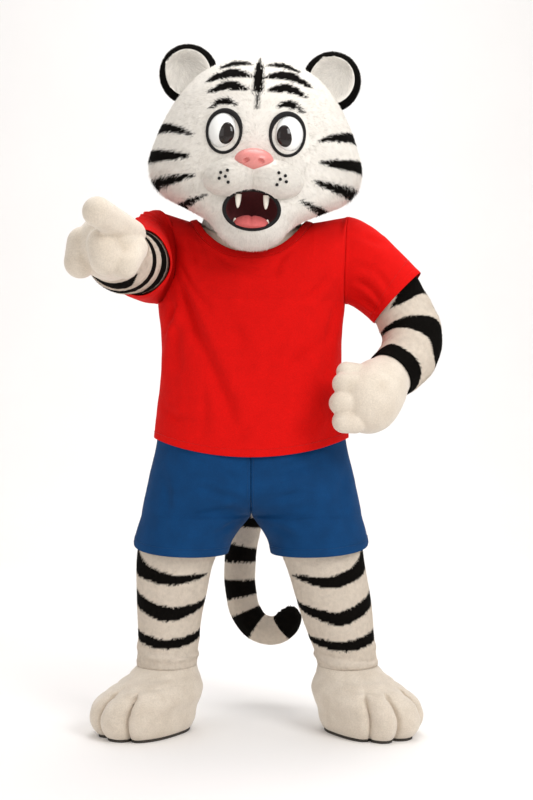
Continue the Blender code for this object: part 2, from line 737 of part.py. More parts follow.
def build_tail():
    """The stuffed tail, seated on the suit's back, and the cutter for its hole in the shorts."""
    rings = path_rings(TAIL, RIGHT, 19, skip_first=False)
    for point in rings[0]:
        point.y = suit_back_at(point.x, point.z) + SEAM_GAP * 2
    tip = Vector([TAIL.at(c, TAIL.rows[-1][0]) for c in "xyz"]) + Vector((0, 0, 0.002))
    root = sum(rings[0], Vector()) / len(rings[0])
    inner = [root.lerp(point, 0.5) for point in rings[0]]
    for point in (root, *inner):
        point.y = suit_back_at(point.x, point.z) + SEAM_GAP * 4.5
    loft("tail", [inner, *rings], "fur_cream", closed=True, start=root, end=tip)
    clear = TAIL_HOLE_CLEARANCE
    hole = Table("step x y z radius", [
        (0, 0.0, 0.085, 0.738, 0.0490 + clear),
        (1, 0.0, 0.150, 0.722, 0.0490 + clear),
        (2, 0.0, 0.215, 0.700, 0.0500 + clear),
        (3, 0.0, 0.250, 0.672, 0.0510 + clear),
    ])
    rings = path_rings(hole, RIGHT, 8, skip_first=False)
    loft("tail_hole_cutter", rings, closed=True, start=True, end=True)


def build_boots():
    """Boots: a foam foot with toes and a shaft inside the leg, and a flat sole."""
    angles = list(np.arange(-TOE_RANGE, TOE_RANGE + 0.1, TOE_STEP))
    angles += list(np.linspace(TOE_RANGE, 360 - TOE_RANGE, 10)[1:-1])
    for side, hand in SIDES:
        boot = BOOTS[side]
        rows = []
        for height in (.0063, .020, .055, .095, .128, .155):
            place = boot_place(side, height)
            rows.append([place @ boot_point(boot, a, height) for a in angles])
        for height in (SHAFT_BOTTOM, SHAFT_TOP):
            rows.append([shaft_point(side, a + boot.turn, height) for a in angles])
        low = sum(rows[0], Vector()) / len(rows[0])
        top_rows = loft(f"boot_{hand}", rows, "plush_cream", closed=True, start=low)
        solidify(top_rows, BOOT_WALL)
        place = boot_place(side, 0)
        outline = [place @ (boot_point(boot, a, rows[0][0].z) * 0.985) for a in angles]
        sole = [[Vector((p.x, p.y, z)) for p in outline] for z in (0, SOLE_THICK)]
        loft(f"sole_{hand}", sole, "sole_rubber", closed=True, start=True, end=True)


def shaft_point(side, angle, height):
    """A point of a boot's shaft, just inside the suit's leg."""
    inside = SUIT_WALL + SHAFT_CLEARANCE
    turn = math.radians(angle)
    x = (SUIT_LEGS[side].at("half_width", height) - inside) * math.sin(turn)
    y = -(SUIT_LEGS[side].at("depth", height) - inside) * math.cos(turn)
    return Vector((side * SUIT_LEGS[side].at("middle", height) + x, y, height))


def boot_place(side, height):
    """Where a boot's ring lies: turned out, and drifting from under the leg to the foot's middle."""
    foot = Vector((*BOOTS[side].foot, 0))
    ankle = Vector((side * SUIT_LEGS[side].at("middle", SHAFT_BOTTOM), 0, 0))
    share = min(max((height - DRIFT_START) / (DRIFT_END - DRIFT_START), 0), 1)
    middle = foot.lerp(ankle, share * share * (3 - 2 * share))
    return Matrix.Translation(middle) @ Matrix.Rotation(math.radians(BOOTS[side].turn), 4, "Z")


def boot_point(boot, angle, height):
    """A point of a boot at an angle from straight ahead, with grooves between the toes."""
    turn = math.radians(angle)
    length = BOOT.at("front" if math.cos(turn) > 0 else "back", height)
    x = BOOT.at("half_width", height) * math.copysign(abs(math.sin(turn)) ** 0.9, math.sin(turn))
    x *= 1 - HEEL_NARROWING * (1 - math.cos(turn)) / 2
    y = -length * math.copysign(abs(math.cos(turn)) ** 0.82, math.cos(turn))
    low = 1 - min(max((height - 0.110) / 0.050, 0), 1)
    groove = sum(math.exp(-(((angle - g) / 6.0) ** 2)) for g in boot.grooves)
    scale = 1 - boot.groove_depth * low * groove
    return Vector((x * scale, y * scale, height))


def build_gloves():
    """Gloves: a padded palm that is hollow from the cuff, and stuffed fingers."""
    right = Table("step x y z radius", [
        (0, -0.3296, -0.486, 1.2805, 0.0676),
        (1, -0.3300, -0.516, 1.2835, 0.0676),
        (2, -0.3280, -0.545, 1.284, 0.0760),
        (3, -0.3225, -0.600, 1.2785, 0.0800),
        (4, -0.3220, -0.650, 1.274, 0.0750),
        (5, -0.3220, -0.685, 1.270, 0.0610),
        (6, -0.3220, -0.705, 1.268, 0.0390),
        (7, -0.3220, -0.712, 1.268, 0.0150),
    ])
    fingers = (
        ((-0.270, -0.620, 1.306), (-0.328, -0.790, 1.332), 0.0335),
        ((-0.380, -0.655, 1.280), (-0.385, -0.655, 1.236), 0.0375),
        ((-0.328, -0.700, 1.272), (-0.319, -0.705, 1.238), 0.0385),
        ((-0.262, -0.640, 1.270), (-0.279, -0.700, 1.225), 0.0320),
    )
    build_glove("hand_right", right, fingers, RIGHT)
    left = Table("step x y z radius", [
        (0, 0.3880, -0.1225, 0.9972, 0.0652),
        (1, 0.3700, -0.1415, 0.9818, 0.0652),
        (2, 0.345, -0.170, 0.958, 0.0790),
        (3, 0.312, -0.202, 0.922, 0.0880),
        (4, 0.288, -0.218, 0.898, 0.0820),
        (5, 0.270, -0.230, 0.880, 0.0640),
        (6, 0.258, -0.238, 0.868, 0.0360),
        (7, 0.254, -0.241, 0.864, 0.0130),
    ])
    fingers = (
        ((0.246, -0.246, 0.962), (0.300, -0.256, 0.966), 0.0330),
        ((0.238, -0.256, 0.912), (0.300, -0.272, 0.914), 0.0340),
        ((0.244, -0.256, 0.864), (0.296, -0.268, 0.862), 0.0320),
        ((0.292, -0.200, 0.990), (0.252, -0.224, 0.994), 0.0270),
    )
    build_glove("hand_left", left, fingers, LEFT)


def build_glove(name, table, fingers, side):
    """One glove: the palm's solid, joined by its fingers, then hollowed from the cuff."""
    rings = path_rings(table, side, 9, skip_first=False)
    last = table.rows[-1][0]
    tip = Vector([table.at(c, last) for c in "xyz"])
    tip += (tip - Vector([table.at(c, last - 1) for c in "xyz"])).normalized() * 0.002
    glove = loft(name, rings, "plush_cream", closed=True, start=True, end=tip)
    for number, (start, end, radius) in enumerate(fingers):
        boolean(glove, capsule(f"{name}_finger_{number}_cutter", start, end, radius), "UNION")
    hollow = Table("step x y z radius", [
        (*row[:4], max(row[4] - GLOVE_WALL, 0.004)) for row in table.rows if row[0] <= last - 2
    ])
    outside = table.rows[0][1:4] - (table.rows[1][1:4] - table.rows[0][1:4]) * 0.6
    rings = path_rings(hollow, side, 5, skip_first=False)
    shift = Vector(outside) - Vector(table.rows[0][1:4])
    rings.insert(0, [point + shift for point in rings[0]])
    end = sum(rings[-1], Vector()) / len(rings[-1])
    end += (tip - end).normalized() * 0.012
    cutter = loft(f"{name}_hollow_cutter", rings, closed=True, start=True, end=end)
    boolean(glove, cutter)


def head_rings(grow=0.0, columns=20):
    """Rings of the head's form from the chin to the crown, grown by a distance."""
    rings = []
    for height in (-.290, -.255, -.210, -.170, -.130, -.080, -.020, .050, .120, .180, .228):
        ring = []
        for number in range(columns):
            turn = 2 * math.pi * number / columns
            front, back = HEAD.at("front", height), HEAD.at("back", height)
            middle, depth = (back - front) / 2, (front + back) / 2
            x = (HEAD.at("half_width", height) + grow) * math.sin(turn)
            y = middle - (depth + grow) * math.cos(turn)
            ring.append(Vector((x, y, height)))
        rings.append(ring)
    return rings


def head_form(name, material=None, grow=0.0):
    """The head's closed outer form."""
    bottom = Vector((0, -(HEAD.at("front", -1) - HEAD.at("back", -1)) / 2, HEAD_BOTTOM - grow))
    top = Vector((0, 0, HEAD_TOP + grow))
    return loft(
        name, head_rings(grow), material, closed=True, start=bottom, end=top, parent="head_frame"
    )


def build_head():
    """Head: a foam shell with ears, eyes, muzzle, nose and an open mouth with its lining."""
    shell = head_form("head_shell", "fur_white")
    solidify(shell, HEAD_WALL)
    seat = head_form("head_seat_cutter", grow=SEAM_GAP * 1.6)
    boolean(shell, bpy.data.objects["neck_cutter"])
    mouth_cutter = ellipsoid("mouth_cutter", MOUTH_MIDDLE, [h + SEAM_GAP for h in MOUTH_HALF])
    boolean(shell, mouth_cutter)
    build_mouth(seat, mouth_cutter)
    build_ears(seat)
    build_eyes(seat)


def muzzle_pad(name, side, grow=0.0, material=None):
    """One side's pad of the muzzle, grown by a distance."""
    radii = [radius + grow for radius in (0.078, 0.062, 0.050)]
    return ellipsoid(name, (side * 0.052, -0.245, -0.098), radii, material, (0, side * 8, side * 12))


def build_mouth(seat, mouth_cutter):
    """Muzzle pads, nose, lip, mouth lining, tongue and teeth."""
    muzzle = muzzle_pad("muzzle", RIGHT, 0, "fur_white")
    boolean(muzzle, muzzle_pad("muzzle_left_cutter", LEFT), "UNION")
    boolean(muzzle, seat)
    boolean(muzzle, mouth_cutter)
    pads = [muzzle_pad(f"nose_seat_{name}_cutter", side, SEAM_GAP) for side, name in SIDES]
    nose = ellipsoid("nose", (0, -0.272, -0.054), (0.050, 0.038, 0.030), "nose_vinyl")
    for cutter in (*pads, seat):
        boolean(nose, cutter)
    lining = ellipsoid("mouth_lining", MOUTH_MIDDLE, MOUTH_HALF, "mouth_dark")
    hollow = ellipsoid("mouth_hollow_cutter", MOUTH_MIDDLE, [h - MOUTH_WALL for h in MOUTH_HALF])
    boolean(lining, hollow)
    inside = head_form("head_inside_cutter", grow=-0.001)
    boolean(lining, inside, "INTERSECT")
    inside = [h - MOUTH_WALL - SEAM_GAP for h in MOUTH_HALF]
    room = ellipsoid("mouth_room_cutter", MOUTH_MIDDLE, inside)
    tongue = ellipsoid(
        "tongue", (0, -0.240, -0.212), (0.046, 0.050, 0.020), "tongue_pink", turn=(12, 0, 0)
    )
    boolean(tongue, room, "INTERSECT")
    for side, name in SIDES:
        fang = ellipsoid(
            f"fang_{name}", (side * 0.036, -0.244, -0.146), (0.0080, 0.0080, 0.024),
            "tooth_white", segments=10, rings=7,
        )
        boolean(fang, room, "INTERSECT")


def build_ears(seat):
    """Round ears: a black outer cup and a furry inner pad, seated on the head."""
    for side, name in SIDES:
        turn = (-6, 22 * side, 0)
        ear = ellipsoid(
            f"ear_{name}", (side * EAR_X, 0.006, EAR_Z), EAR_RADII, "fur_black", turn, segments=14
        )
        hollow = ellipsoid(
            f"ear_hollow_{name}_cutter", (side * EAR_X, -0.028, EAR_Z), (0.062, 0.034, 0.066),
            turn=turn,
        )
        boolean(ear, hollow)
        boolean(ear, seat)
        inner = ellipsoid(
            f"ear_inner_{name}", (side * EAR_X, -0.0275, EAR_Z), (0.0614, 0.033, 0.0654),
            "fur_white", turn,
        )
        front = ellipsoid(
            f"ear_front_{name}_cutter", (side * EAR_X, -0.060, EAR_Z), (0.080, 0.050, 0.084),
            turn=turn,
        )
        boolean(inner, front)
        boolean(inner, seat)


def build_eyes(seat):
    """Eyes: a glossy white with a dark iris standing on it."""
    for side, name in SIDES:
        middle = (side * 0.082, -0.205, 0.020)
        eye = ellipsoid(f"eye_{name}", middle, EYE_RADII, "eye_white", (0, 0, side * 12))
        boolean(eye, seat)
        grown = [radius + SEAM_GAP for radius in EYE_RADII]
        white = ellipsoid(f"iris_seat_{name}_cutter", middle, grown, turn=(0, 0, side * 12))
        iris = ellipsoid(
            f"iris_{name}", (side * 0.078, -0.236, 0.016), (0.024, 0.012, 0.029), "iris_brown",
            (0, 0, side * 10), segments=14, rings=7,
        )
        boolean(iris, white)
        boolean(iris, seat)


def main():
    """Builds the costume from the tail up, so that each cutter is there for its panel."""
    scene_start()
    build_tail()
    build_suit()
    build_shorts()
    build_shirt()
    build_boots()
    build_gloves()
    build_head()


main()
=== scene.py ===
"""White tiger costume: its short-pile fur, plush, jersey and twill, in the worn pose.

Metres. The costume faces -Y and its wearer's left is +X. Heights in the tables are above
the floor, and place() brings them to the frame, whose origin is between the shoulders.
"""

import logging
import math
from dataclasses import dataclass
from enum import Enum
from typing import Callable, Sequence

import bmesh
import bpy
import numpy as np
from mathutils import Euler, Matrix, Vector


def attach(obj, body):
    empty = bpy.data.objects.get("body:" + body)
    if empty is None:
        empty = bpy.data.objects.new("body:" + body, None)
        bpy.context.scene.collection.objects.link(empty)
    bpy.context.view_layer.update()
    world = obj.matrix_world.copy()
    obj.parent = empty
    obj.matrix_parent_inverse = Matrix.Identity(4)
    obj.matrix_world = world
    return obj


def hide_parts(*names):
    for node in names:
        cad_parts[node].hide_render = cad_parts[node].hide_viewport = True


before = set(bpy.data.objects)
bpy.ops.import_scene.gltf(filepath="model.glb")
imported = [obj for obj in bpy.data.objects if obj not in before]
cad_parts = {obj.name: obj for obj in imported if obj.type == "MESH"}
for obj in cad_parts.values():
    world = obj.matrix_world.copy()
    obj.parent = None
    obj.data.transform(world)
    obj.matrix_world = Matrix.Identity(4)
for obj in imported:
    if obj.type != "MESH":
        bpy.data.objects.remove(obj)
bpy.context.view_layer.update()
LOG = logging.getLogger("costume")
Array = np.ndarray
Corner = tuple[float, float, float]

ORIGIN_HEIGHT = 1.44
UNDER_SOLES = 0.0002
SEAM_GAP = 0.0003
SUIT_WALL, SHIRT_WALL, SHORTS_WALL = 0.003, 0.0016, 0.0018
ROUNDNESS = 2.3


class Side(Enum):
    """The wearer's side, by its sign along X."""

    RIGHT = -1
    LEFT = 1

    @property
    def word(self) -> str:
        """The side's name in lower case, as the nodes have it."""
        return self.name.lower()


class Face(Enum):
    """The front or the back of the costume, by its sign along Y."""

    FRONT = -1
    BACK = 1

    @property
    def word(self) -> str:
        """The face's name in lower case, as the nodes have it."""
        return self.name.lower()


class Table:
    """Sections of a form: a row for each section, a named column for each size."""

    def __init__(self, columns: str, rows: Sequence[Sequence[float]]) -> None:
        """Keeps the rows in order of their first column."""
        self.columns = columns.split()
        self.rows = np.array(sorted(tuple(row) for row in rows), float)

    @property
    def last(self) -> float:
        """The last place along the first column."""
        return float(self.rows[-1, 0])

    def at(self, column: str, place: Array | float) -> Array:
        """The column's size at places along the first column, eased through the rows.

        Args:
            column: name of the size.
            place: one place, or an array of them.

        Returns:
            The sizes, in the shape of place.
        """
        places = self.rows[:, 0]
        sizes = self.rows[:, self.columns.index(column)]
        slopes = np.gradient(sizes, places)
        place = np.clip(place, places[0], places[-1])
        i = np.clip(np.searchsorted(places, place, side="right") - 1, 0, len(places) - 2)
        step = places[i + 1] - places[i]
        t = (place - places[i]) / step
        return (
            (1 + 2 * t) * (1 - t) ** 2 * sizes[i]
            + t * (1 - t) ** 2 * step * slopes[i]
            + t * t * (3 - 2 * t) * sizes[i + 1]
            + t * t * (t - 1) * step * slopes[i + 1]
        )

    def middle(self, place: float) -> Array:
        """The point of the form's middle line at a place."""
        return np.array([self.at(c, place) for c in "xyz"])


SUIT_BODY = Table("height half_width front back", [
    (0.930, 0.235, 0.165, 0.155),
    (1.100, 0.228, 0.160, 0.146),
    (1.200, 0.240, 0.155, 0.138),
    (1.330, 0.250, 0.142, 0.126),
    (1.450, 0.250, 0.120, 0.115),
])
SHIRT_BODY = Table("height half_width front back", [
    (0.768, 0.277, 0.188, 0.180),
    (0.880, 0.266, 0.184, 0.174),
    (1.000, 0.252, 0.180, 0.166),
    (1.100, 0.252, 0.176, 0.160),
    (1.200, 0.262, 0.171, 0.154),
    (1.330, 0.270, 0.157, 0.141),
    (1.450, 0.270, 0.132, 0.127),
])
SUIT_HIPS = Table("height half_width front back", [
    (0.600, 0.282, 0.130, 0.128),
    (0.700, 0.262, 0.150, 0.146),
    (0.780, 0.252, 0.158, 0.152),
    (0.930, 0.235, 0.165, 0.155),
])
SHORTS_HIPS = Table("height half_width front back", [
    (0.580, 0.310, 0.165, 0.160),
    (0.714, 0.284, 0.182, 0.174),
    (0.790, 0.266, 0.178, 0.170),
    (0.850, 0.257, 0.174, 0.165),
    (0.886, 0.2450, 0.1675, 0.1585),
])
SUIT_LEGS = {
    Side.RIGHT: Table("height middle half_width depth", [
        (0.180, 0.2360, 0.0825, 0.0830),
        (0.220, 0.2350, 0.0830, 0.0850),
        (0.360, 0.2255, 0.0950, 0.0980),
        (0.490, 0.2070, 0.1130, 0.1120),
        (0.560, 0.1720, 0.1320, 0.1200),
        (0.620, 0.1415, 0.1412, 0.1250),
    ]),
    Side.LEFT: Table("height middle half_width depth", [
        (0.180, 0.2680, 0.0830, 0.0830),
        (0.220, 0.2620, 0.0850, 0.0860),
        (0.307, 0.2420, 0.0985, 0.0960),
        (0.490, 0.1970, 0.1160, 0.1120),
        (0.560, 0.1680, 0.1320, 0.1200),
        (0.620, 0.1415, 0.1412, 0.1250),
    ]),
}
SHORTS_LEGS = {
    Side.RIGHT: Table("height middle half_width depth", [
        (0.480, 0.2010, 0.1300, 0.1380),
        (0.530, 0.1900, 0.1370, 0.1420),
        (0.600, 0.1535, 0.1533, 0.1500),
    ]),
    Side.LEFT: Table("height middle half_width depth", [
        (0.480, 0.1930, 0.1350, 0.1380),
        (0.530, 0.1850, 0.1400, 0.1420),
        (0.600, 0.1535, 0.1533, 0.1500),
    ]),
}
ARM_STATIONS = {
    Side.RIGHT: Table("step x y z radius", [
        (0, -0.298, -0.215, 1.284, 0.0835),
        (1, -0.318, -0.330, 1.273, 0.0825),
        (2, -0.327, -0.430, 1.276, 0.0785),
        (3, -0.330, -0.510, 1.283, 0.0715),
    ]),
    Side.LEFT: Table("step x y z radius", [
        (0, 0.396, -0.008, 1.218, 0.0800),
        (1, 0.430, -0.018, 1.150, 0.0820),
        (2, 0.446, -0.042, 1.090, 0.0830),
        (3, 0.424, -0.085, 1.030, 0.0780),
        (4, 0.374, -0.137, 0.985, 0.0690),
    ]),
}
TAIL = Table("step x y z radius", [
    (0, 0.000, 0.150, 0.722, 0.0480),
    (1, 0.000, 0.215, 0.700, 0.0490),
    (2, -0.005, 0.270, 0.635, 0.0490),
    (3, -0.020, 0.292, 0.550, 0.0480),
    (4, -0.038, 0.290, 0.440, 0.0470),
    (5, -0.036, 0.285, 0.340, 0.0460),
    (6, -0.014, 0.275, 0.270, 0.0450),
    (7, 0.030, 0.265, 0.231, 0.0430),
    (8, 0.080, 0.257, 0.232, 0.0415),
    (9, 0.108, 0.252, 0.262, 0.0385),
    (10, 0.114, 0.250, 0.285, 0.0290),
    (11, 0.115, 0.250, 0.300, 0.0120),
])
HEAD = Table("height half_width front back", [
    (-0.272, 0.044, 0.236, -0.176),
    (-0.254, 0.074, 0.254, -0.140),
    (-0.228, 0.096, 0.268, -0.100),
    (-0.200, 0.124, 0.272, -0.010),
    (-0.170, 0.178, 0.268, 0.075),
    (-0.140, 0.236, 0.258, 0.150),
    (-0.100, 0.276, 0.248, 0.200),
    (-0.050, 0.292, 0.242, 0.232),
    (0.020, 0.276, 0.238, 0.246),
    (0.090, 0.246, 0.226, 0.236),
    (0.150, 0.208, 0.203, 0.204),
    (0.200, 0.160, 0.164, 0.163),
    (0.232, 0.108, 0.115, 0.112),
])
BOOT = Table("height half_width front back", [
    (0.0063, 0.118, 0.180, 0.094),
    (0.030, 0.132, 0.198, 0.102),
    (0.070, 0.138, 0.205, 0.104),
    (0.105, 0.135, 0.203, 0.100),
    (0.135, 0.113, 0.176, 0.092),
    (0.158, 0.093, 0.126, 0.087),
])


def place(points: Array) -> Array:
    """Points with heights above the floor, brought to the frame."""
    moved = np.array(points, float)
    moved[..., 2] -= ORIGIN_HEIGHT
    return moved


def unit(vectors: Array) -> Array:
    """Vectors at length one."""
    return vectors / np.maximum(np.linalg.norm(vectors, axis=-1, keepdims=True), 1e-12)


def rise(values: Array, low: float, high: float) -> Array:
    """A smooth step from 0 at low to 1 at high."""
    t = np.clip((values - low) / (high - low), 0, 1)
    return t * t * (3 - 2 * t)


def linear(code: str) -> Array:
    """A colour's sRGB hex value as linear red, green and blue."""
    srgb = np.array([int(code[i:i + 2], 16) / 255 for i in (1, 3, 5)])
    return np.where(srgb <= 0.04045, srgb / 12.92, ((srgb + 0.055) / 1.055) ** 2.4)


def close_to_ends(count: int, edge: Sequence[float] = ()) -> Array:
    """Shares from 0 to 1, evenly spaced, with some more at given shares from both ends."""
    return np.unique(np.round([*np.linspace(0, 1, count), *edge, *[1 - e for e in edge]], 6))


@dataclass(frozen=True)
class Crease:
    """A trough or ridge along a curved line on the cloth, with a softer lip beside it."""

    line: tuple[tuple[float, float], ...]
    width: float
    depth: float
    lip: float = 0.55

    def height(self, across: Array, up: Array) -> Array:
        """How far the crease lifts the cloth at places across and up it."""
        knots = np.array(self.line)
        steps = np.linspace(0, len(knots) - 1, 5 * (len(knots) - 1) + 1)
        table = Table("step x y", np.column_stack([np.arange(len(knots)), knots]))
        path = np.column_stack([table.at("x", steps), table.at("y", steps)])
        best = np.full(across.shape, np.inf)
        offset, along = np.zeros(across.shape), np.zeros(across.shape)
        for number, (start, end) in enumerate(zip(path, path[1:])):
            run = end - start
            t = np.clip(((across - start[0]) * run[0] + (up - start[1]) * run[1]) / (run @ run), 0, 1)
            dx, dy = across - start[0] - t * run[0], up - start[1] - t * run[1]
            away = np.hypot(dx, dy)
            near = away < best
            best = np.where(near, away, best)
            offset = np.where(near, np.copysign(away, run[0] * dy - run[1] * dx), offset)
            along = np.where(near, (number + t) / (len(path) - 1), along)
        fade = np.sin(math.pi * np.clip(along, 0, 1)) ** 0.8
        wide = self.width * (0.75 + 0.5 * along)
        uneven = 1 + 0.25 * np.sin(11 * along + 40 * self.line[0][0])
        trough = np.exp(-((offset / wide) ** 2))
        lip = self.lip * np.exp(-(((offset - 1.9 * wide) / (1.3 * wide)) ** 2))
        return self.depth * fade * uneven * (trough - lip)


def creased(creases: Sequence[Crease], across: Array, up: Array) -> Array:
    """The sum of several creases at places of the cloth."""
    total = np.zeros(np.broadcast(across, up).shape)
    for crease in creases:
        total += crease.height(across, up)
    return total


@dataclass
class Sheet:
    """A sheet or tube of cloth as rows and columns of points.

    A closed sheet's last column repeats its first.
    """

    points: Array
    closed: bool = False
    start_cap: bool = False
    end_cap: bool = False

    def normals(self) -> Array:
        """Outward directions at the points."""
        if self.closed:
            ring = self.points[:, :-1]
            across = np.roll(ring, -1, 1) - np.roll(ring, 1, 1)
            across = np.concatenate([across, across[:, :1]], 1)
        else:
            across = np.gradient(self.points, axis=1)
        normals = unit(np.cross(across, np.gradient(self.points, axis=0)))
        return normals * self.facing(normals)

    def facing(self, normals: Array) -> float:
        """1 where the normals point away from the sheet's middle, and -1 where they don't."""
        middle = self.points.mean(1, keepdims=True)
        return float(np.sign((normals * (self.points - middle)).sum()))

    def raised(self, heights: Array) -> "Sheet":
        """The same sheet with its points moved outward by heights."""
        moved = self.points + self.normals() * np.asarray(heights)[..., None]
        if self.closed:
            moved[:, -1] = moved[:, 0]
        return Sheet(moved, self.closed, self.start_cap, self.end_cap)

    def across(self) -> Array:
        """Distance of each point from the first column, along its row."""
        steps = np.linalg.norm(np.diff(self.points, axis=1), axis=2)
        return np.concatenate([np.zeros((len(steps), 1)), np.cumsum(steps, 1)], 1)

    def along(self) -> Array:
        """Distance of each point from the first row, along its column."""
        steps = np.linalg.norm(np.diff(self.points, axis=0), axis=2)
        return np.concatenate([np.zeros((1, steps.shape[1])), np.cumsum(steps, 0)])

    def areas(self) -> Array:
        """The area of each face between the rows and columns."""
        p = self.points
        return np.linalg.norm(np.cross(p[1:, 1:] - p[:-1, :-1], p[1:, :-1] - p[:-1, 1:]), axis=2) / 2

    def cut(self) -> dict:
        """The flat piece it was cut from: width and length in metres, and its area."""
        size = (float(self.across()[:, -1].max()), float(self.along()[-1].max()))
        area = float(self.areas().sum())
        share = min(max(area / (size[0] * size[1]), 0.31), 1.0)
        return {"flat": (round(size[0], 3), round(size[1], 3)),
                "area": round(share * round(size[0], 3) * round(size[1], 3), 4)}

    def build(self, name: str, finish: bpy.types.Material, colours: Array | None = None,
              cloth_place: Array | None = None) -> bpy.types.Object:
        """Makes the sheet's mesh.

        Args:
            name: name of the piece.
            finish: its material.
            colours: linear colours of the points, for a pile that has stripes.
            cloth_place: flat places of the points in metres, worked out when left out.

        Returns:
            The object, linked to the scene.
        """
        rows, columns = self.points.shape[:2]
        used = columns - 1 if self.closed else columns
        marks = np.arange(rows * columns).reshape(rows, columns)
        corners = np.stack([marks[:-1, :-1], marks[:-1, 1:], marks[1:, 1:], marks[1:, :-1]], -1)
        corners = corners.reshape(-1, 4)
        if self.facing(unit(np.cross(np.gradient(self.points, axis=1),
                                     np.gradient(self.points, axis=0)))) < 0:
            corners = corners[:, ::-1]
        row, column = corners // columns, corners % columns
        faces = (row * used + column % used).tolist()
        vertices = self.points[:, :used].reshape(-1, 3)
        caps = []
        for wanted, at, order in ((self.start_cap, 0, 1), (self.end_cap, rows - 1, -1)):
            if wanted:
                pole = len(vertices)
                vertices = np.vstack([vertices, self.points[at, :used].mean(0)])
                ring = at * used + np.arange(used)
                caps += [[int(a), int(b), pole][::order] for a, b in zip(ring, np.roll(ring, -1))]
        mesh = bpy.data.meshes.new(name)
        mesh.from_pydata(vertices.tolist(), [], faces + caps)
        flat = cloth_place
        if flat is None:
            flat = np.stack([self.across(), self.along(), np.zeros((rows, columns))], -1)
        flat = flat.reshape(-1, 3)[corners.ravel()]
        flat = np.vstack([flat, np.zeros((3 * len(caps), 3))])
        attribute = mesh.attributes.new("cloth_place", "FLOAT_VECTOR", "CORNER")
        attribute.data.foreach_set("vector", flat.ravel())
        if colours is not None:
            values = colours[:, :used].reshape(-1, 3)
            if caps:
                poles = [colours[at].mean(0) for at, wanted in
                         ((0, self.start_cap), (-1, self.end_cap)) if wanted]
                values = np.vstack([values, poles])
            paint(mesh, values)
        item = link(name, mesh, finish)
        if caps:
            shape = bmesh.new()
            shape.from_mesh(mesh)
            bmesh.ops.recalc_face_normals(shape, faces=shape.faces)
            shape.to_mesh(mesh)
            shape.free()
        mesh.shade_smooth()
        return item


def paint(mesh: bpy.types.Mesh, colours: Array) -> None:
    """Gives a mesh's points their pile colours."""
    attribute = mesh.color_attributes.new("pile_colour", "FLOAT_COLOR", "POINT")
    values = np.column_stack([colours, np.ones(len(colours))])
    attribute.data.foreach_set("color", values.ravel())


def link(name: str, mesh: bpy.types.Mesh, finish: bpy.types.Material | None) -> bpy.types.Object:
    """Makes an object of a mesh, with its material, in the scene."""
    item = bpy.data.objects.new(name, mesh)
    if finish:
        mesh.materials.append(finish)
    bpy.context.scene.collection.objects.link(item)
    return item


def settle(item: bpy.types.Object) -> bpy.types.Object:
    """Applies an object's modifiers and its place to its mesh."""
    bpy.context.view_layer.update()
    shape = item.evaluated_get(bpy.context.evaluated_depsgraph_get())
    mesh = bpy.data.meshes.new_from_object(shape)
    mesh.transform(item.matrix_world)
    item.modifiers.clear()
    item.data = mesh
    item.matrix_world = Matrix()
    mesh.shade_smooth()
    return item


def thicken(item: bpy.types.Object, wall: float) -> bpy.types.Object:
    """Gives a sheet its wall, inwards from its outer face."""
    modifier = item.modifiers.new("wall", "SOLIDIFY")
    modifier.thickness = wall
    modifier.offset = -1
    return settle(item)


def cut_with(item: bpy.types.Object, *cutters: bpy.types.Object,
             how: str = "DIFFERENCE") -> bpy.types.Object:
    """Cuts an object with others, or keeps what it shares with them, and removes them."""
    for cutter in cutters:
        modifier = item.modifiers.new("cut", "BOOLEAN")
        modifier.operation = how
        modifier.object = cutter
        modifier.solver = "EXACT"
    settle(item)
    for cutter in cutters:
        bpy.data.objects.remove(cutter, do_unlink=True)
    return item


def dress(item: bpy.types.Object, slot: str, *nodes: str) -> bpy.types.Object:
    """Puts a piece on the costume's body, in place of its nodes."""
    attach(item, "root")
    if nodes:
        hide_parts(*nodes)
    LOG.info("%s: %d faces", item.name, len(item.data.polygons))
    return item


# Finishes


def node(tree: bpy.types.NodeTree, kind: str, settings: dict | None = None,
         **links: object) -> bpy.types.Node:
    """Adds one node to a material.

    Args:
        tree: the material's node tree.
        kind: the node's type name without its ShaderNode prefix.
        settings: properties of the node to set.
        **links: inputs by name, with _ for a space, each a value or an output to link.

    Returns:
        The node.
    """
    made = tree.nodes.new(f"ShaderNode{kind}")
    for key, value in (settings or {}).items():
        setattr(made, key, value)
    for key, value in links.items():
        socket = made.inputs[int(key[1:])] if key[1:].isdigit() else made.inputs[key.replace("_", " ")]
        if isinstance(value, bpy.types.NodeSocket):
            tree.links.new(value, socket)
        else:
            socket.default_value = value
    return made


def shader_of(name: str, **sockets: object) -> tuple[bpy.types.Material, bpy.types.NodeTree,
                                                    bpy.types.Node]:
    """A new material, its tree and its shader, with the shader's own sockets set."""
    material = bpy.data.materials.new(name)
    material.use_nodes = True
    shader = material.node_tree.nodes["Principled BSDF"]
    for key, value in sockets.items():
        shader.inputs[key.replace("_", " ")].default_value = value
    return material, material.node_tree, shader


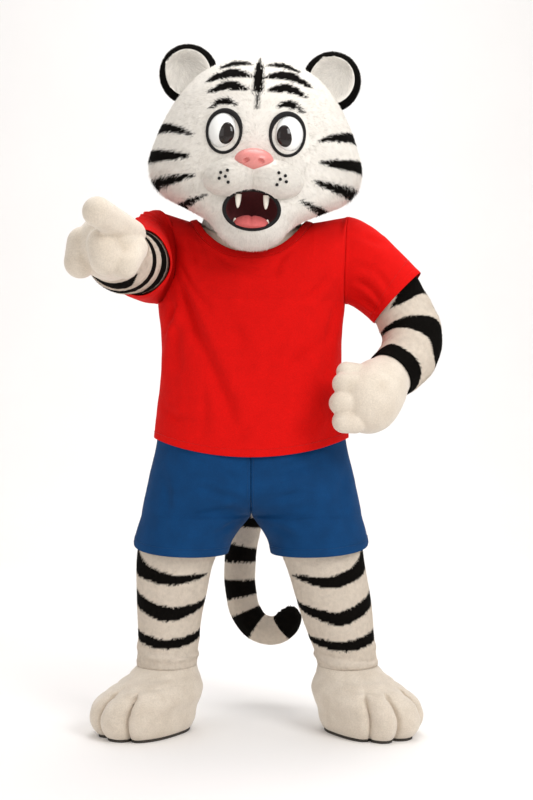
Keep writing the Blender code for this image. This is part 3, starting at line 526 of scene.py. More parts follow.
def tint(tree: bpy.types.NodeTree, colour: object, vector: object, size: float,
         darkest: float, detail: float = 4.0) -> bpy.types.NodeSocket:
    """Varies a colour's brightness over patches of a size in metres."""
    patches = node(tree, "TexNoise", None, Vector=vector, Scale=1 / size, Detail=detail)
    level = node(tree, "MapRange", None, Value=patches.outputs["Fac"], From_Min=0.3, From_Max=0.7,
                 To_Min=darkest, To_Max=1.0)
    grey = node(tree, "CombineColor", None, Red=level.outputs[0], Green=level.outputs[0],
                Blue=level.outputs[0])
    mixed = node(tree, "Mix", {"data_type": "RGBA", "blend_type": "MULTIPLY"}, _0=1.0)
    for socket, value in ((mixed.inputs[6], colour), (mixed.inputs[7], grey.outputs[0])):
        if isinstance(value, bpy.types.NodeSocket):
            tree.links.new(value, socket)
        else:
            socket.default_value = value
    return mixed.outputs[2]


@dataclass(frozen=True)
class AcrylicPile:
    """Faux fur: acrylic fibres in a knitted back, brushed and sheared to an even nap."""

    name: str
    clump: float = 0.012
    darkest: float = 0.88

    def material(self) -> bpy.types.Material:
        """Matt, with a soft bright edge where light grazes the fibres' tips."""
        material, tree, shader = shader_of(
            self.name, Roughness=0.95, Sheen_Weight=0.20, Sheen_Roughness=0.6, IOR=1.46,
            Specular_IOR_Level=0.05,
        )
        own = node(tree, "Attribute", {"attribute_name": "pile_colour"})
        here = node(tree, "TexCoord").outputs["Object"]
        colour = tint(tree, own.outputs["Color"], here, self.clump, self.darkest)
        tree.links.new(colour, shader.inputs["Base Color"])
        tree.links.new(colour, shader.inputs["Sheen Tint"])
        strand = 0.0022  # a tuft of fibres, as fine as the picture can show
        tufts = node(tree, "TexNoise", None, Vector=here, Scale=1 / strand, Detail=2.0)
        bump = node(tree, "Bump", None, Height=tufts.outputs["Fac"], Strength=0.5, Distance=0.0012)
        tree.links.new(bump.outputs[0], shader.inputs["Normal"])
        return material


@dataclass(frozen=True)
class KnittedJersey:
    """Cotton jersey: a fine weft knit, piece-dyed, with its wales running up the cloth."""

    name: str
    colour: str
    wale: float = 0.0030  # drawn three times as wide as real, to show
    relief: float = 0.00035

    def material(self) -> bpy.types.Material:
        """Matt cloth with fine upright lines, a slub here and there and soft dye patches."""
        material, tree, shader = shader_of(
            self.name, Roughness=0.88, Sheen_Weight=0.05, Sheen_Roughness=0.5,
            Sheen_Tint=(*linear(self.colour), 1), Specular_IOR_Level=0.10,
        )
        flat = node(tree, "Attribute", {"attribute_name": "cloth_place"}).outputs["Vector"]
        here = node(tree, "TexCoord").outputs["Object"]
        wave_scale = 2 * math.pi / (20 * self.wale)  # Blender's wave has 20 radians to the unit
        wales = node(tree, "TexWave", {"bands_direction": "X"}, Vector=flat, Scale=wave_scale,
                     Distortion=0.6, Detail=1.0)
        courses = node(tree, "TexWave", {"bands_direction": "Y"}, Vector=flat,
                       Scale=wave_scale * 0.8, Distortion=0.8, Detail=1.0)
        slubs = node(tree, "TexNoise", None, Vector=here, Scale=420.0, Detail=3.0)
        knit = node(tree, "Math", {"operation": "ADD"}, _0=wales.outputs["Fac"],
                    _1=courses.outputs["Fac"])
        height = node(tree, "Math", {"operation": "ADD"}, _0=knit.outputs[0],
                      _1=slubs.outputs["Fac"])
        bump = node(tree, "Bump", None, Height=height.outputs[0], Strength=0.55,
                    Distance=self.relief)
        tree.links.new(bump.outputs[0], shader.inputs["Normal"])
        base = (*linear(self.colour), 1)
        mottled = tint(tree, base, here, 0.035, 0.93)
        fleck = tint(tree, mottled, here, 0.0028, 0.86, 2.0)
        tree.links.new(fleck, shader.inputs["Base Color"])
        return material


@dataclass(frozen=True)
class CottonTwill:
    """Cotton twill: a 2/1 weave whose diagonal wale shows, piece-dyed and worn softer."""

    name: str
    colour: str
    wale: float = 0.0034  # drawn twice as wide as real, to show
    slant: float = 62.0

    def material(self) -> bpy.types.Material:
        """Fine diagonal lines that catch light, paler where the cloth has rubbed."""
        material, tree, shader = shader_of(
            self.name, Roughness=0.80, Sheen_Weight=0.06, Sheen_Roughness=0.4,
            Sheen_Tint=(*linear(self.colour), 1), Specular_IOR_Level=0.15,
        )
        flat = node(tree, "Attribute", {"attribute_name": "cloth_place"}).outputs["Vector"]
        here = node(tree, "TexCoord").outputs["Object"]
        turned = node(tree, "VectorRotate", {"rotation_type": "Z_AXIS"}, Vector=flat,
                      Angle=math.radians(self.slant))
        lines = node(tree, "TexWave", {"bands_direction": "X"}, Vector=turned.outputs[0],
                     Scale=2 * math.pi / (20 * self.wale), Distortion=0.4, Detail=1.0)
        fibres = node(tree, "TexNoise", None, Vector=here, Scale=600.0, Detail=2.0)
        height = node(tree, "Math", {"operation": "ADD"}, _0=lines.outputs["Fac"],
                      _1=fibres.outputs["Fac"])
        bump = node(tree, "Bump", None, Height=height.outputs[0], Strength=0.6, Distance=0.0004)
        tree.links.new(bump.outputs[0], shader.inputs["Normal"])
        base = (*linear(self.colour), 1)
        rubbed = tint(tree, base, here, 0.05, 0.80)
        tree.links.new(tint(tree, rubbed, here, 0.003, 0.84, 2.0), shader.inputs["Base Color"])
        return material


@dataclass(frozen=True)
class RibKnit:
    """A 1 by 1 rib knit: columns that stand up round a neck."""

    name: str
    colour: str
    rib: float = 0.0036

    def material(self) -> bpy.types.Material:
        """Upright columns with dark lines between them."""
        material, tree, shader = shader_of(
            self.name, Roughness=0.88, Specular_IOR_Level=0.10,
        )
        flat = node(tree, "Attribute", {"attribute_name": "cloth_place"}).outputs["Vector"]
        here = node(tree, "TexCoord").outputs["Object"]
        ribs = node(tree, "TexWave", {"bands_direction": "X"}, Vector=flat,
                    Scale=2 * math.pi / (20 * self.rib))
        bump = node(tree, "Bump", None, Height=ribs.outputs["Fac"], Strength=0.8, Distance=0.0009)
        tree.links.new(bump.outputs[0], shader.inputs["Normal"])
        base = (*linear(self.colour), 1)
        tree.links.new(tint(tree, base, here, 0.004, 0.82), shader.inputs["Base Color"])
        return material


@dataclass(frozen=True)
class PolyesterPlush:
    """Short plush or velour: a dense cut nap over foam, brushed in patches by handling."""

    name: str
    colour: str
    worn: str
    nap: float = 0.0016

    def material(self) -> bpy.types.Material:
        """Soft and even, with broad patches where the nap lies another way."""
        material, tree, shader = shader_of(
            self.name, Roughness=0.92, Sheen_Weight=0.35, Sheen_Roughness=0.5,
            Specular_IOR_Level=0.15,
        )
        here = node(tree, "TexCoord").outputs["Object"]
        patches = node(tree, "TexNoise", None, Vector=here, Scale=26.0, Detail=5.0)
        share = node(tree, "MapRange", None, Value=patches.outputs["Fac"], From_Min=0.35,
                     From_Max=0.68)
        mixed = node(tree, "Mix", {"data_type": "RGBA"}, _0=share.outputs[0],
                     _6=(*linear(self.colour), 1), _7=(*linear(self.worn), 1))
        colour = tint(tree, mixed.outputs[2], here, 0.0035, 0.86, 2.0)
        tree.links.new(colour, shader.inputs["Base Color"])
        fibres = node(tree, "TexNoise", None, Vector=here, Scale=1 / self.nap, Detail=3.0)
        bump = node(tree, "Bump", None, Height=fibres.outputs["Fac"], Strength=0.45,
                    Distance=0.0009)
        tree.links.new(bump.outputs[0], shader.inputs["Normal"])
        return material


@dataclass(frozen=True)
class Moulding:
    """A moulded or painted surface: vinyl, resin, acrylic, rubber, foam or thread."""

    name: str
    colour: str
    roughness: float
    grain: float = 0.004
    relief: float = 0.0001
    darkest: float = 0.93
    coat: float = 0.0

    def material(self) -> bpy.types.Material:
        """Smooth or grained, with the shine that its roughness and its coat give."""
        material, tree, shader = shader_of(
            self.name, Roughness=self.roughness, Coat_Weight=self.coat, Coat_Roughness=0.05,
            IOR=1.49,
        )
        here = node(tree, "TexCoord").outputs["Object"]
        base = (*linear(self.colour), 1)
        tree.links.new(tint(tree, base, here, self.grain * 3, self.darkest),
                       shader.inputs["Base Color"])
        grains = node(tree, "TexNoise", None, Vector=here, Scale=1 / self.grain, Detail=4.0)
        bump = node(tree, "Bump", None, Height=grains.outputs["Fac"], Strength=0.3,
                    Distance=self.relief)
        tree.links.new(bump.outputs[0], shader.inputs["Normal"])
        return material


RED, BLUE = "#dc100c", "#074072"
FINISHES = {
    "acrylic_short_pile": AcrylicPile("acrylic_short_pile"),
    "acrylic_head_pile": AcrylicPile("acrylic_head_pile", 0.020, 0.92),
    "red_cotton_jersey": KnittedJersey("red_cotton_jersey", RED),
    "red_cotton_rib": RibKnit("red_cotton_rib", "#d20d0a"),
    "blue_cotton_twill": CottonTwill("blue_cotton_twill", BLUE),
    "cream_plush": PolyesterPlush("cream_plush", "#e0d4c4", "#d6c9b8"),
    "red_polyester_thread": Moulding("red_polyester_thread", "#b40d0a", 0.45, 0.001),
    "blue_polyester_thread": Moulding("blue_polyester_thread", "#083a66", 0.45, 0.001),
    "cream_polyester_thread": Moulding("cream_polyester_thread", "#b9aa92", 0.5, 0.001),
    "grey_eva_sole": Moulding("grey_eva_sole", "#3c3630", 0.75, 0.003, 0.0004, 0.85),
    "white_acrylic_eye": Moulding("white_acrylic_eye", "#f2f2ef", 0.12, 0.02, 0.00002, 0.98, 1.0),
    "brown_acrylic_iris": Moulding("brown_acrylic_iris", "#1a0e0a", 0.10, 0.003, 0.00005, 0.6),
    "pink_vinyl_nose": Moulding("pink_vinyl_nose", "#e08a84", 0.42, 0.0016, 0.0003, 0.88, 0.25),
    "dark_red_felt": Moulding("dark_red_felt", "#4a0f12", 0.95, 0.002, 0.0008, 0.7),
    "pink_velour_tongue": Moulding("pink_velour_tongue", "#d0615f", 0.7, 0.0022, 0.0006, 0.85),
    "ivory_resin_tooth": Moulding("ivory_resin_tooth", "#f3ede0", 0.25, 0.006, 0.0001, 0.9, 0.4),
    "black_felt": Moulding("black_felt", "#161415", 0.95, 0.0015, 0.0006, 0.7),
}


class Wardrobe:
    """The finishes, each made into a material once, when first asked for."""

    def __init__(self) -> None:
        """Starts with no material made."""
        self.made: dict[str, bpy.types.Material] = {}

    def __getitem__(self, name: str) -> bpy.types.Material:
        """The material of a finish."""
        if name not in self.made:
            self.made[name] = FINISHES[name].material()
        return self.made[name]


WARDROBE = Wardrobe()


# Pile: the fibres that stand on the fur's surface


@dataclass
class PileField:
    """Fibres brushed one way over a sheet, each a slim blade that takes its stripe's colour."""

    name: str
    sheet: Sheet
    count: int
    length: float
    width: float
    lift: float
    seed: int
    brush: Callable[[Array, Array, Array], Array]
    colour: Callable[[Array, Array], Array]
    weight: Callable[[Array, Array], Array] | None = None
    longer: Callable[[Array, Array], Array] | None = None

    def build(self, finish: bpy.types.Material) -> bpy.types.Object:
        """Makes the fibres as one mesh, with the surface's own shading on each."""
        draw = np.random.default_rng(self.seed)
        grid, normals = self.sheet.points, self.sheet.normals()
        rows, columns = grid.shape[:2]
        chance = self.sheet.areas()
        mid_row, mid_column = np.meshgrid(
            (np.arange(rows - 1) + 0.5) / (rows - 1), (np.arange(columns - 1) + 0.5) / (columns - 1),
            indexing="ij",
        )
        if self.weight:
            chance = chance * self.weight(mid_row, mid_column)
        chance = chance.ravel() / chance.sum()
        chosen = draw.choice(len(chance), self.count, p=chance)
        i, j = chosen // (columns - 1), chosen % (columns - 1)
        s, t = draw.random(self.count), draw.random(self.count)

        def blend(values: Array) -> Array:
            a, b = s[:, None], t[:, None]
            return (values[i, j] * (1 - a) * (1 - b) + values[i, j + 1] * (1 - a) * b
                    + values[i + 1, j] * a * (1 - b) + values[i + 1, j + 1] * a * b)

        roots, out = blend(grid), unit(blend(normals))
        down = unit(blend(np.gradient(grid, axis=0)))
        row, column = (i + s) / (rows - 1), (j + t) / (columns - 1)
        way = self.brush(roots, out, down)
        way = unit(way - (way * out).sum(1, keepdims=True) * out)
        way = unit(way + draw.normal(0, 0.28, roots.shape))
        way = unit(way - (way * out).sum(1, keepdims=True) * out)
        up = self.lift * draw.uniform(0.5, 1.5, (self.count, 1))
        ahead = unit(way + up * out)
        long = self.length * draw.uniform(0.6, 1.25, (self.count, 1))
        if self.longer:
            long = long * self.longer(row, column)[:, None]
        beside = unit(np.cross(out, ahead)) * self.width / 2 * draw.uniform(0.7, 1.3, (self.count, 1))
        base = roots - out * 0.0006
        corners = np.stack([base + beside, base - beside, base + ahead * long], 1).reshape(-1, 3)
        shade = self.colour(row, column + draw.normal(0, 0.003, self.count))
        shade = shade * draw.uniform(0.86, 1.10, (self.count, 1))
        mesh = bpy.data.meshes.new(self.name)
        mesh.from_pydata(corners.tolist(), [], np.arange(3 * self.count).reshape(-1, 3).tolist())
        paint(mesh, np.repeat(np.clip(shade, 0, 1), 3, 0))
        item = link(self.name, mesh, finish)
        mesh.shade_smooth()
        tilt = unit(out + draw.normal(0, 0.16, out.shape))
        mesh.normals_split_custom_set_from_vertices(np.repeat(tilt, 3, 0).tolist())
        return item


@dataclass(frozen=True)
class Stripe:
    """A dark band round a limb: its lower and upper edge at places round the limb.

    Its knots are degrees round the limb. They run over the front alone, and the back repeats
    them the other way, unless they go all round.
    """

    knots: tuple[tuple[float, float, float], ...]
    all_round: bool = False

    def covers(self, turn: Array, at: Array) -> Array:
        """Where places round and along the limb are inside the band."""
        turn = np.degrees(turn) % 360
        turn = turn if self.all_round else np.where(turn > 180, 360 - turn, turn)
        edges = Table("turn low high", self.knots)
        near = (turn >= self.knots[0][0]) & (turn <= self.knots[-1][0])
        return near & (at > edges.at("low", turn)) & (at < edges.at("high", turn))


CREAM_FUR, WHITE_FUR, BLACK_FUR = linear("#d6cabb"), linear("#ece7df"), linear("#0f0d0b")


def striped(stripes: Sequence[Stripe], turn: Array, at: Array, ground: Array = CREAM_FUR,
            ragged: float = 0.0035) -> Array:
    """Colours of a limb's fur, with ragged edges to its bands."""
    wave = ragged * (np.sin(turn * 37 + at * 300) + np.sin(turn * 71 + 2) * 0.7)
    dark = np.zeros(np.broadcast(turn, at).shape, bool)
    for stripe in stripes:
        dark |= stripe.covers(turn, at + wave)
    return np.where(dark[..., None], BLACK_FUR, ground)


# The upper body's form, which the suit and the shirt share

NECK_X, NECK_HEIGHT, TIP_X = 0.140, 1.405, 0.250
TIP_HEIGHT = {Side.RIGHT: 1.440, Side.LEFT: 1.424}
ROUND_START = 1.330
ARMHOLE_GAP, TIP_CLEARANCE = 0.0010, 0.0010


@dataclass(frozen=True)
class UpperBody:
    """A garment's form from its hem to its shoulders."""

    sections: Table
    hem: dict[Face, float]
    hem_side: float
    underarm: float
    armhole_depth: float
    inset: dict[tuple[Side, Face], float]
    lift: float
    neck_share: float
    neck_drop: dict[Face, float]

    def shoulder(self, x: Array) -> Array:
        """Height of the shoulder line over places across the body."""
        tip = np.where(x < 0, TIP_HEIGHT[Side.RIGHT], TIP_HEIGHT[Side.LEFT])
        along = np.maximum(0, (np.abs(x) - NECK_X) / (TIP_X - NECK_X))
        return NECK_HEIGHT + (tip - NECK_HEIGHT) * along + self.lift

    def depth(self, height: Array, top: Array, face: Face) -> Array:
        """Depth of a face, rounded over towards the shoulder line."""
        share = np.clip((height - ROUND_START) / (top - ROUND_START), 0, 1)
        return self.sections.at(face.word, np.minimum(height, ROUND_START)) * np.sqrt(1 - share**2)

    def line(self, share: Array) -> Array:
        """The shoulder line over shares of the half width."""
        return self.shoulder(share * self.sections.at("half_width", TIP_HEIGHT[Side.LEFT]))

    def neckline(self, share: Array, face: Face) -> Array:
        """Top of a panel: the shoulder line, dipping to the neckline."""
        dip = 1 - np.minimum(np.abs(share / self.neck_share), 1) ** 2.5
        return self.line(share) - self.neck_drop[face] * dip

    def points(self, share: Array, turn: Array, top: Array, face: Face) -> Array:
        """Points at shares of the width and angles up the armhole."""
        share, turn, top = np.broadcast_arrays(share, turn, top)
        height = self.underarm + (top - self.underarm) * (1 - np.cos(turn)) / 2
        curve = np.sin(turn) ** (1 + 2 * rise(1 - np.abs(share), 0, 0.12))
        side = np.where(share < 0, -1, 1)
        inset = np.where(share < 0, self.inset[Side.RIGHT, face], self.inset[Side.LEFT, face])
        beside = np.maximum(0, (np.abs(share) - self.neck_share) / (1 - self.neck_share))
        x = share * self.sections.at("half_width", height) - side * inset * curve * beside
        edge = self.armhole_depth * curve
        round_off = np.maximum(0, 1 - np.abs(share) ** ROUNDNESS) ** (1 / ROUNDNESS)
        y = edge + (self.depth(height, self.line(share), face) - edge) * round_off
        return np.stack([x, face.value * np.maximum(y, 0.8 * SEAM_GAP), height], -1)

    def shares(self, count: int) -> Array:
        """Shares of the half width that are even round the outline, with the neck's own."""
        turns = np.linspace(-math.pi / 2, math.pi / 2, count)
        even = np.sign(turns) * np.abs(np.sin(turns)) ** (2 / ROUNDNESS)
        close = 0.5 * (1 - self.neck_share) / count
        even = even[np.abs(np.abs(even) - self.neck_share) > close]
        return np.sort([*even, -self.neck_share, self.neck_share])

    def panel(self, face: Face, columns: int, below: Array, turns: int) -> Sheet:
        """A front or back panel.

        Args:
            face: which panel.
            columns: number of columns.
            below: rows from the hem, 0, to the underarm, 1.
            turns: number of rows from the underarm to the top.
        """
        share = self.shares(columns)[None]
        hem = self.hem[face] + (self.hem_side - self.hem[face]) * share**2
        height = hem + (self.underarm - hem) * below[:, None]
        x = share * self.sections.at("half_width", height)
        round_off = np.maximum(0, 1 - np.abs(share) ** ROUNDNESS) ** (1 / ROUNDNESS)
        y = self.sections.at(face.word, height) * round_off
        low = np.stack([x, face.value * np.maximum(y, SEAM_GAP / 2), height], -1)
        rows = np.linspace(0, 1, turns + 1)[1:, None]
        inner = rise(1 - np.abs(share), 0, 0.30)
        turn = np.minimum(math.pi * rows * (1 - inner) + np.arccos(1 - 2 * rows) * inner, math.pi)
        return Sheet(np.concatenate([low, self.points(share, turn, self.neckline(share, face), face)]))

    def armhole(self, side: Side, turn: Array) -> Array:
        """Points round an armhole: underarm, up the front, shoulder tip, down the back."""
        share = np.full(turn.shape, float(side.value))
        front = self.points(share, np.minimum(turn, math.pi), self.line(share), Face.FRONT)
        back = self.points(share, np.minimum(2 * math.pi - turn, math.pi), self.line(share), Face.BACK)
        ring = np.where((turn < math.pi)[:, None], front, back)
        ease = TIP_CLEARANCE * np.exp(-(((turn - math.pi) / 0.15) ** 2))
        ring[:, 1] *= rise(np.abs(turn - math.pi), 0, 0.1) * rise(np.sin(turn / 2), 0, 0.05)
        ring[:, 0] += side.value * (ARMHOLE_GAP + ease)
        return ring


def ring_frame(direction: Sequence[float], side: Side) -> tuple[Array, Array]:
    """The down and front directions of an arm's round section."""
    turn = Vector((side.value, 0, 0)).rotation_difference(Vector(direction).normalized())
    return np.array(turn @ Vector((0, 0, -1))), np.array(turn @ Vector((0, -1, 0)))


@dataclass(frozen=True)
class ArmEnd:
    """A round section that a sleeve's shoulder runs to."""

    middle: Corner
    direction: Corner
    radius: float

    def ring(self, side: Side, turn: Array) -> Array:
        """The section's points at angles round it."""
        down, front = ring_frame(self.direction, side)
        round_off = np.cos(turn)[:, None] * down + np.sin(turn)[:, None] * front
        return np.array(self.middle) + self.radius * round_off


def shoulder_grid(body: UpperBody, end: ArmEnd, side: Side, turn: Array, along: Array,
                  reach: float) -> Array:
    """Points of a sleeve from the armhole to a round section, on smooth curves."""
    ring, target = body.armhole(side, turn), end.ring(side, turn)
    out = np.array([side.value, 0.0, 0.0])
    ahead = unit(np.array(end.direction))
    pull = 2 * reach * np.linalg.norm(target - ring, axis=1)[None, :, None]
    t = along[:, None, None]
    grid = ((1 + 2 * t) * (1 - t) ** 2 * ring + t * (1 - t) ** 2 * pull * out
            + t * t * (3 - 2 * t) * target + t * t * (t - 1) * pull * ahead)
    grid[:, -1] = grid[:, 0]
    return grid


def tube_grid(table: Table, side: Side, steps: Array, turn: Array) -> Array:
    """Points of a tube along a table's middle line, each ring square to the line."""
    rings = []
    for step in steps:
        ahead = table.middle(min(step + 0.05, table.last)) - table.middle(max(step - 0.05, 0))
        down, front = ring_frame(ahead, side)
        round_off = np.cos(turn)[:, None] * down + np.sin(turn)[:, None] * front
        rings.append(table.middle(step) + table.at("radius", step) * round_off)
    grid = np.array(rings)
    grid[:, -1] = grid[:, 0]
    return grid


@dataclass(frozen=True)
class LowerBody:
    """A garment's form from the waist down: the hips, then a leg's own oval."""

    hips: Table
    legs: dict[Side, Table]
    crotch: float
    crotch_start: float

    def points(self, side: Side, around: Array, height: Array) -> Array:
        """Points of a leg: around is 0 at the front middle, 1 outside, 2 at the back."""
        around, height = np.broadcast_arrays(around, height)
        front = around <= 1
        turn = np.where(front, around, 2 - around) * math.pi / 2
        above, below = np.maximum(height, self.crotch), np.minimum(height, self.crotch)
        depth = np.where(front, self.hips.at("front", above), self.hips.at("back", above))
        leg = self.legs[side]
        hip_x = self.hips.at("half_width", above) * np.sin(turn) ** (2 / ROUNDNESS)
        hip_y = depth * np.maximum(np.cos(turn), 0) ** (2 / ROUNDNESS)
        leg_x = leg.at("middle", below) - leg.at("half_width", below) * np.cos(2 * turn)
        leg_y = leg.at("depth", below) * np.sin(2 * turn)
        down = np.clip((self.crotch_start - height) / (self.crotch_start - self.crotch), 0, 1)
        blend = 1 - np.sqrt(1 - down**2)
        gap = 0.75 * SEAM_GAP
        x = np.maximum(hip_x + (leg_x - hip_x) * blend, gap)
        y = np.maximum(hip_y + (leg_y - hip_y) * blend, gap)
        return np.stack([side.value * x, np.where(front, -1, 1) * y, height], -1)


SUIT = UpperBody(
    SUIT_BODY, {Face.FRONT: 0.930, Face.BACK: 0.930}, 0.930, 1.206, 0.080,
    {(Side.RIGHT, Face.FRONT): 0.046, (Side.RIGHT, Face.BACK): 0.010,
     (Side.LEFT, Face.FRONT): 0.012, (Side.LEFT, Face.BACK): 0.010},
    0.0, 0.56, {Face.FRONT: 0.045, Face.BACK: 0.016},
)
SHIRT = UpperBody(
    SHIRT_BODY, {Face.FRONT: 0.768, Face.BACK: 0.790}, 0.816, 1.190, 0.100,
    {(Side.RIGHT, Face.FRONT): 0.066, (Side.RIGHT, Face.BACK): 0.008,
     (Side.LEFT, Face.FRONT): 0.014, (Side.LEFT, Face.BACK): 0.008},
    0.0045, 0.637, {Face.FRONT: 0.108, Face.BACK: 0.024},
)
SUIT_LOWER = LowerBody(SUIT_HIPS, SUIT_LEGS, 0.618, 0.715)
SHORTS_LOWER = LowerBody(SHORTS_HIPS, SHORTS_LEGS, 0.600, 0.690)
SLEEVE_HEMS = {
    Side.RIGHT: ArmEnd((-0.296, -0.238, 1.281), (-0.10, -0.99, -0.06), 0.0945),
    Side.LEFT: ArmEnd((0.4085, -0.012, 1.2045), (0.72, -0.10, -0.68), 0.0960),
}
ARM_STARTS = {
    Side.RIGHT: ArmEnd((-0.298, -0.215, 1.284), (-0.10, -0.99, -0.06), 0.0835),
    Side.LEFT: ArmEnd((0.396, -0.008, 1.218), (0.42, -0.10, -0.90), 0.0800),
}


# Sewing


def stitches(name: str, line: Array, normals: Array, finish: bpy.types.Material,
             pitch: float = 0.0042, length: float = 0.0030, thick: float = 0.0007) -> bpy.types.Object:
    """A row of stitches lying on the cloth along a line of points."""
    steps = np.linalg.norm(np.diff(line, axis=0), axis=1)
    travelled = np.concatenate([[0], np.cumsum(steps)])
    at = np.arange(pitch / 2, travelled[-1] - pitch / 2, pitch)
    middle = np.stack([np.interp(at, travelled, line[:, k]) for k in range(3)], 1)
    out = unit(np.stack([np.interp(at, travelled, normals[:, k]) for k in range(3)], 1))
    ahead = np.stack([np.interp(at + 0.001, travelled, line[:, k]) for k in range(3)], 1) - middle
    ahead = unit(ahead)
    beside = np.cross(out, ahead)
    middle = middle + out * thick * 0.3
    corners = np.stack([
        middle - ahead * length / 2, middle + ahead * length / 2, middle + beside * thick,
        middle - beside * thick, middle + out * thick, middle - out * thick,
    ], 1).reshape(-1, 3)
    faces = np.array([[0, 2, 4], [2, 1, 4], [1, 3, 4], [3, 0, 4], [2, 0, 5], [1, 2, 5], [3, 1, 5],
                      [0, 3, 5]])
    faces = (faces[None] + 6 * np.arange(len(at))[:, None, None]).reshape(-1, 3)
    mesh = bpy.data.meshes.new(name)
    mesh.from_pydata(corners.tolist(), [], faces.tolist())
    return link(name, mesh, finish)


def joined(name: str, items: Sequence[bpy.types.Object]) -> bpy.types.Object:
    """Joins several objects of one material into one."""
    with bpy.context.temp_override(active_object=items[0], selected_editable_objects=list(items)):
        bpy.ops.object.join()
    items[0].name = items[0].data.name = name
    return items[0]


def hem_steps(length: float, regular: int, seam: float, start: bool) -> Array:
    """Shares along a sheet with rows close together at a hem's edge and its stitching."""
    near = [0.0015, 0.004, 0.009, seam - 0.004, seam - 0.002, seam - 0.001, seam, seam + 0.001,
            seam + 0.002, seam + 0.004, seam + 0.008]
    shares = np.unique(np.round([*np.linspace(0, 1, regular), *[n / length for n in near]], 6))
    return shares if start else np.unique(np.round(1 - shares, 6))


def hem_relief(distance: Array, seam: float) -> Array:
    """Relief of a turned-up hem: thicker to its stitching, which sinks in."""
    fold = 0.0010 * (1 - rise(distance, seam, seam + 0.003))
    edge = -0.0006 * np.exp(-((distance / 0.0015) ** 2))
    return fold + edge - 0.0012 * np.exp(-(((distance - seam) / 0.0012) ** 2))


# The T-shirt

SHIRT_FRONT_CREASES = (
    Crease(((-0.165, 1.360), (-0.158, 1.320), (-0.150, 1.280)), 0.010, -0.0045),
    Crease(((-0.105, 1.335), (-0.070, 1.300), (-0.030, 1.268)), 0.010, -0.0035),
    Crease(((-0.190, 1.250), (-0.160, 1.150), (-0.123, 1.050), (-0.070, 0.925), (-0.035, 0.820)),
           0.017, -0.0085),
    Crease(((-0.205, 1.185), (-0.223, 1.140), (-0.240, 1.095)), 0.009, -0.0055),
    Crease(((-0.196, 1.180), (-0.222, 1.080), (-0.240, 0.955)), 0.014, 0.0055, 0.3),
    Crease(((0.215, 1.100), (0.140, 1.030), (0.050, 0.945)), 0.022, -0.0045),
    Crease(((0.195, 0.885), (0.150, 0.850), (0.095, 0.818)), 0.016, -0.0040),
    Crease(((-0.205, 1.315), (-0.160, 1.225), (-0.105, 1.150)), 0.009, -0.0040),
    Crease(((-0.212, 1.280), (-0.175, 1.180), (-0.145, 1.060)), 0.010, -0.0050),
    Crease(((-0.222, 1.220), (-0.205, 1.100), (-0.190, 0.990)), 0.010, -0.0035),
    Crease(((0.225, 1.285), (0.180, 1.215), (0.115, 1.165)), 0.010, -0.0035),
    Crease(((0.245, 1.215), (0.215, 1.100), (0.195, 0.960)), 0.012, -0.0040),
    Crease(((0.110, 1.335), (0.075, 1.290), (0.060, 1.240)), 0.010, -0.0022),
    Crease(((-0.040, 1.300), (0.020, 1.258), (0.085, 1.268)), 0.011, -0.0022),
    Crease(((-0.245, 0.905), (-0.200, 0.870), (-0.140, 0.858)), 0.012, -0.0035),
    Crease(((0.020, 0.905), (-0.010, 0.850), (-0.055, 0.800)), 0.014, -0.0030),
    Crease(((0.245, 0.990), (0.222, 0.900), (0.205, 0.805)), 0.015, -0.0040),
    Crease(((0.105, 1.130), (0.050, 1.020), (0.040, 0.900)), 0.022, -0.0028),
    Crease(((-0.080, 1.190), (-0.030, 1.080), (0.010, 0.980)), 0.022, -0.0026),
    Crease(((-0.130, 0.960), (-0.125, 0.880), (-0.140, 0.800)), 0.014, -0.0030),
)
SHIRT_BACK_CREASES = (
    Crease(((-0.225, 1.280), (-0.160, 1.180), (-0.090, 1.100)), 0.014, -0.0060),
    Crease(((0.225, 1.270), (0.165, 1.180), (0.110, 1.080)), 0.014, -0.0055),
    Crease(((-0.240, 1.150), (-0.180, 1.060), (-0.120, 0.980)), 0.016, -0.0050),
    Crease(((0.240, 1.130), (0.190, 1.040), (0.120, 0.960)), 0.016, -0.0050),
    Crease(((-0.180, 0.950), (-0.030, 0.925), (0.120, 0.960)), 0.018, -0.0050),
    Crease(((-0.150, 0.880), (0.020, 0.860), (0.160, 0.885)), 0.016, -0.0040),
    Crease(((-0.060, 1.330), (0.000, 1.300), (0.070, 1.325)), 0.014, -0.0030),
    Crease(((-0.030, 1.230), (-0.010, 1.120), (-0.030, 1.010)), 0.022, -0.0030),
    Crease(((0.060, 0.850), (0.050, 0.820), (0.060, 0.790)), 0.016, -0.0030),
)
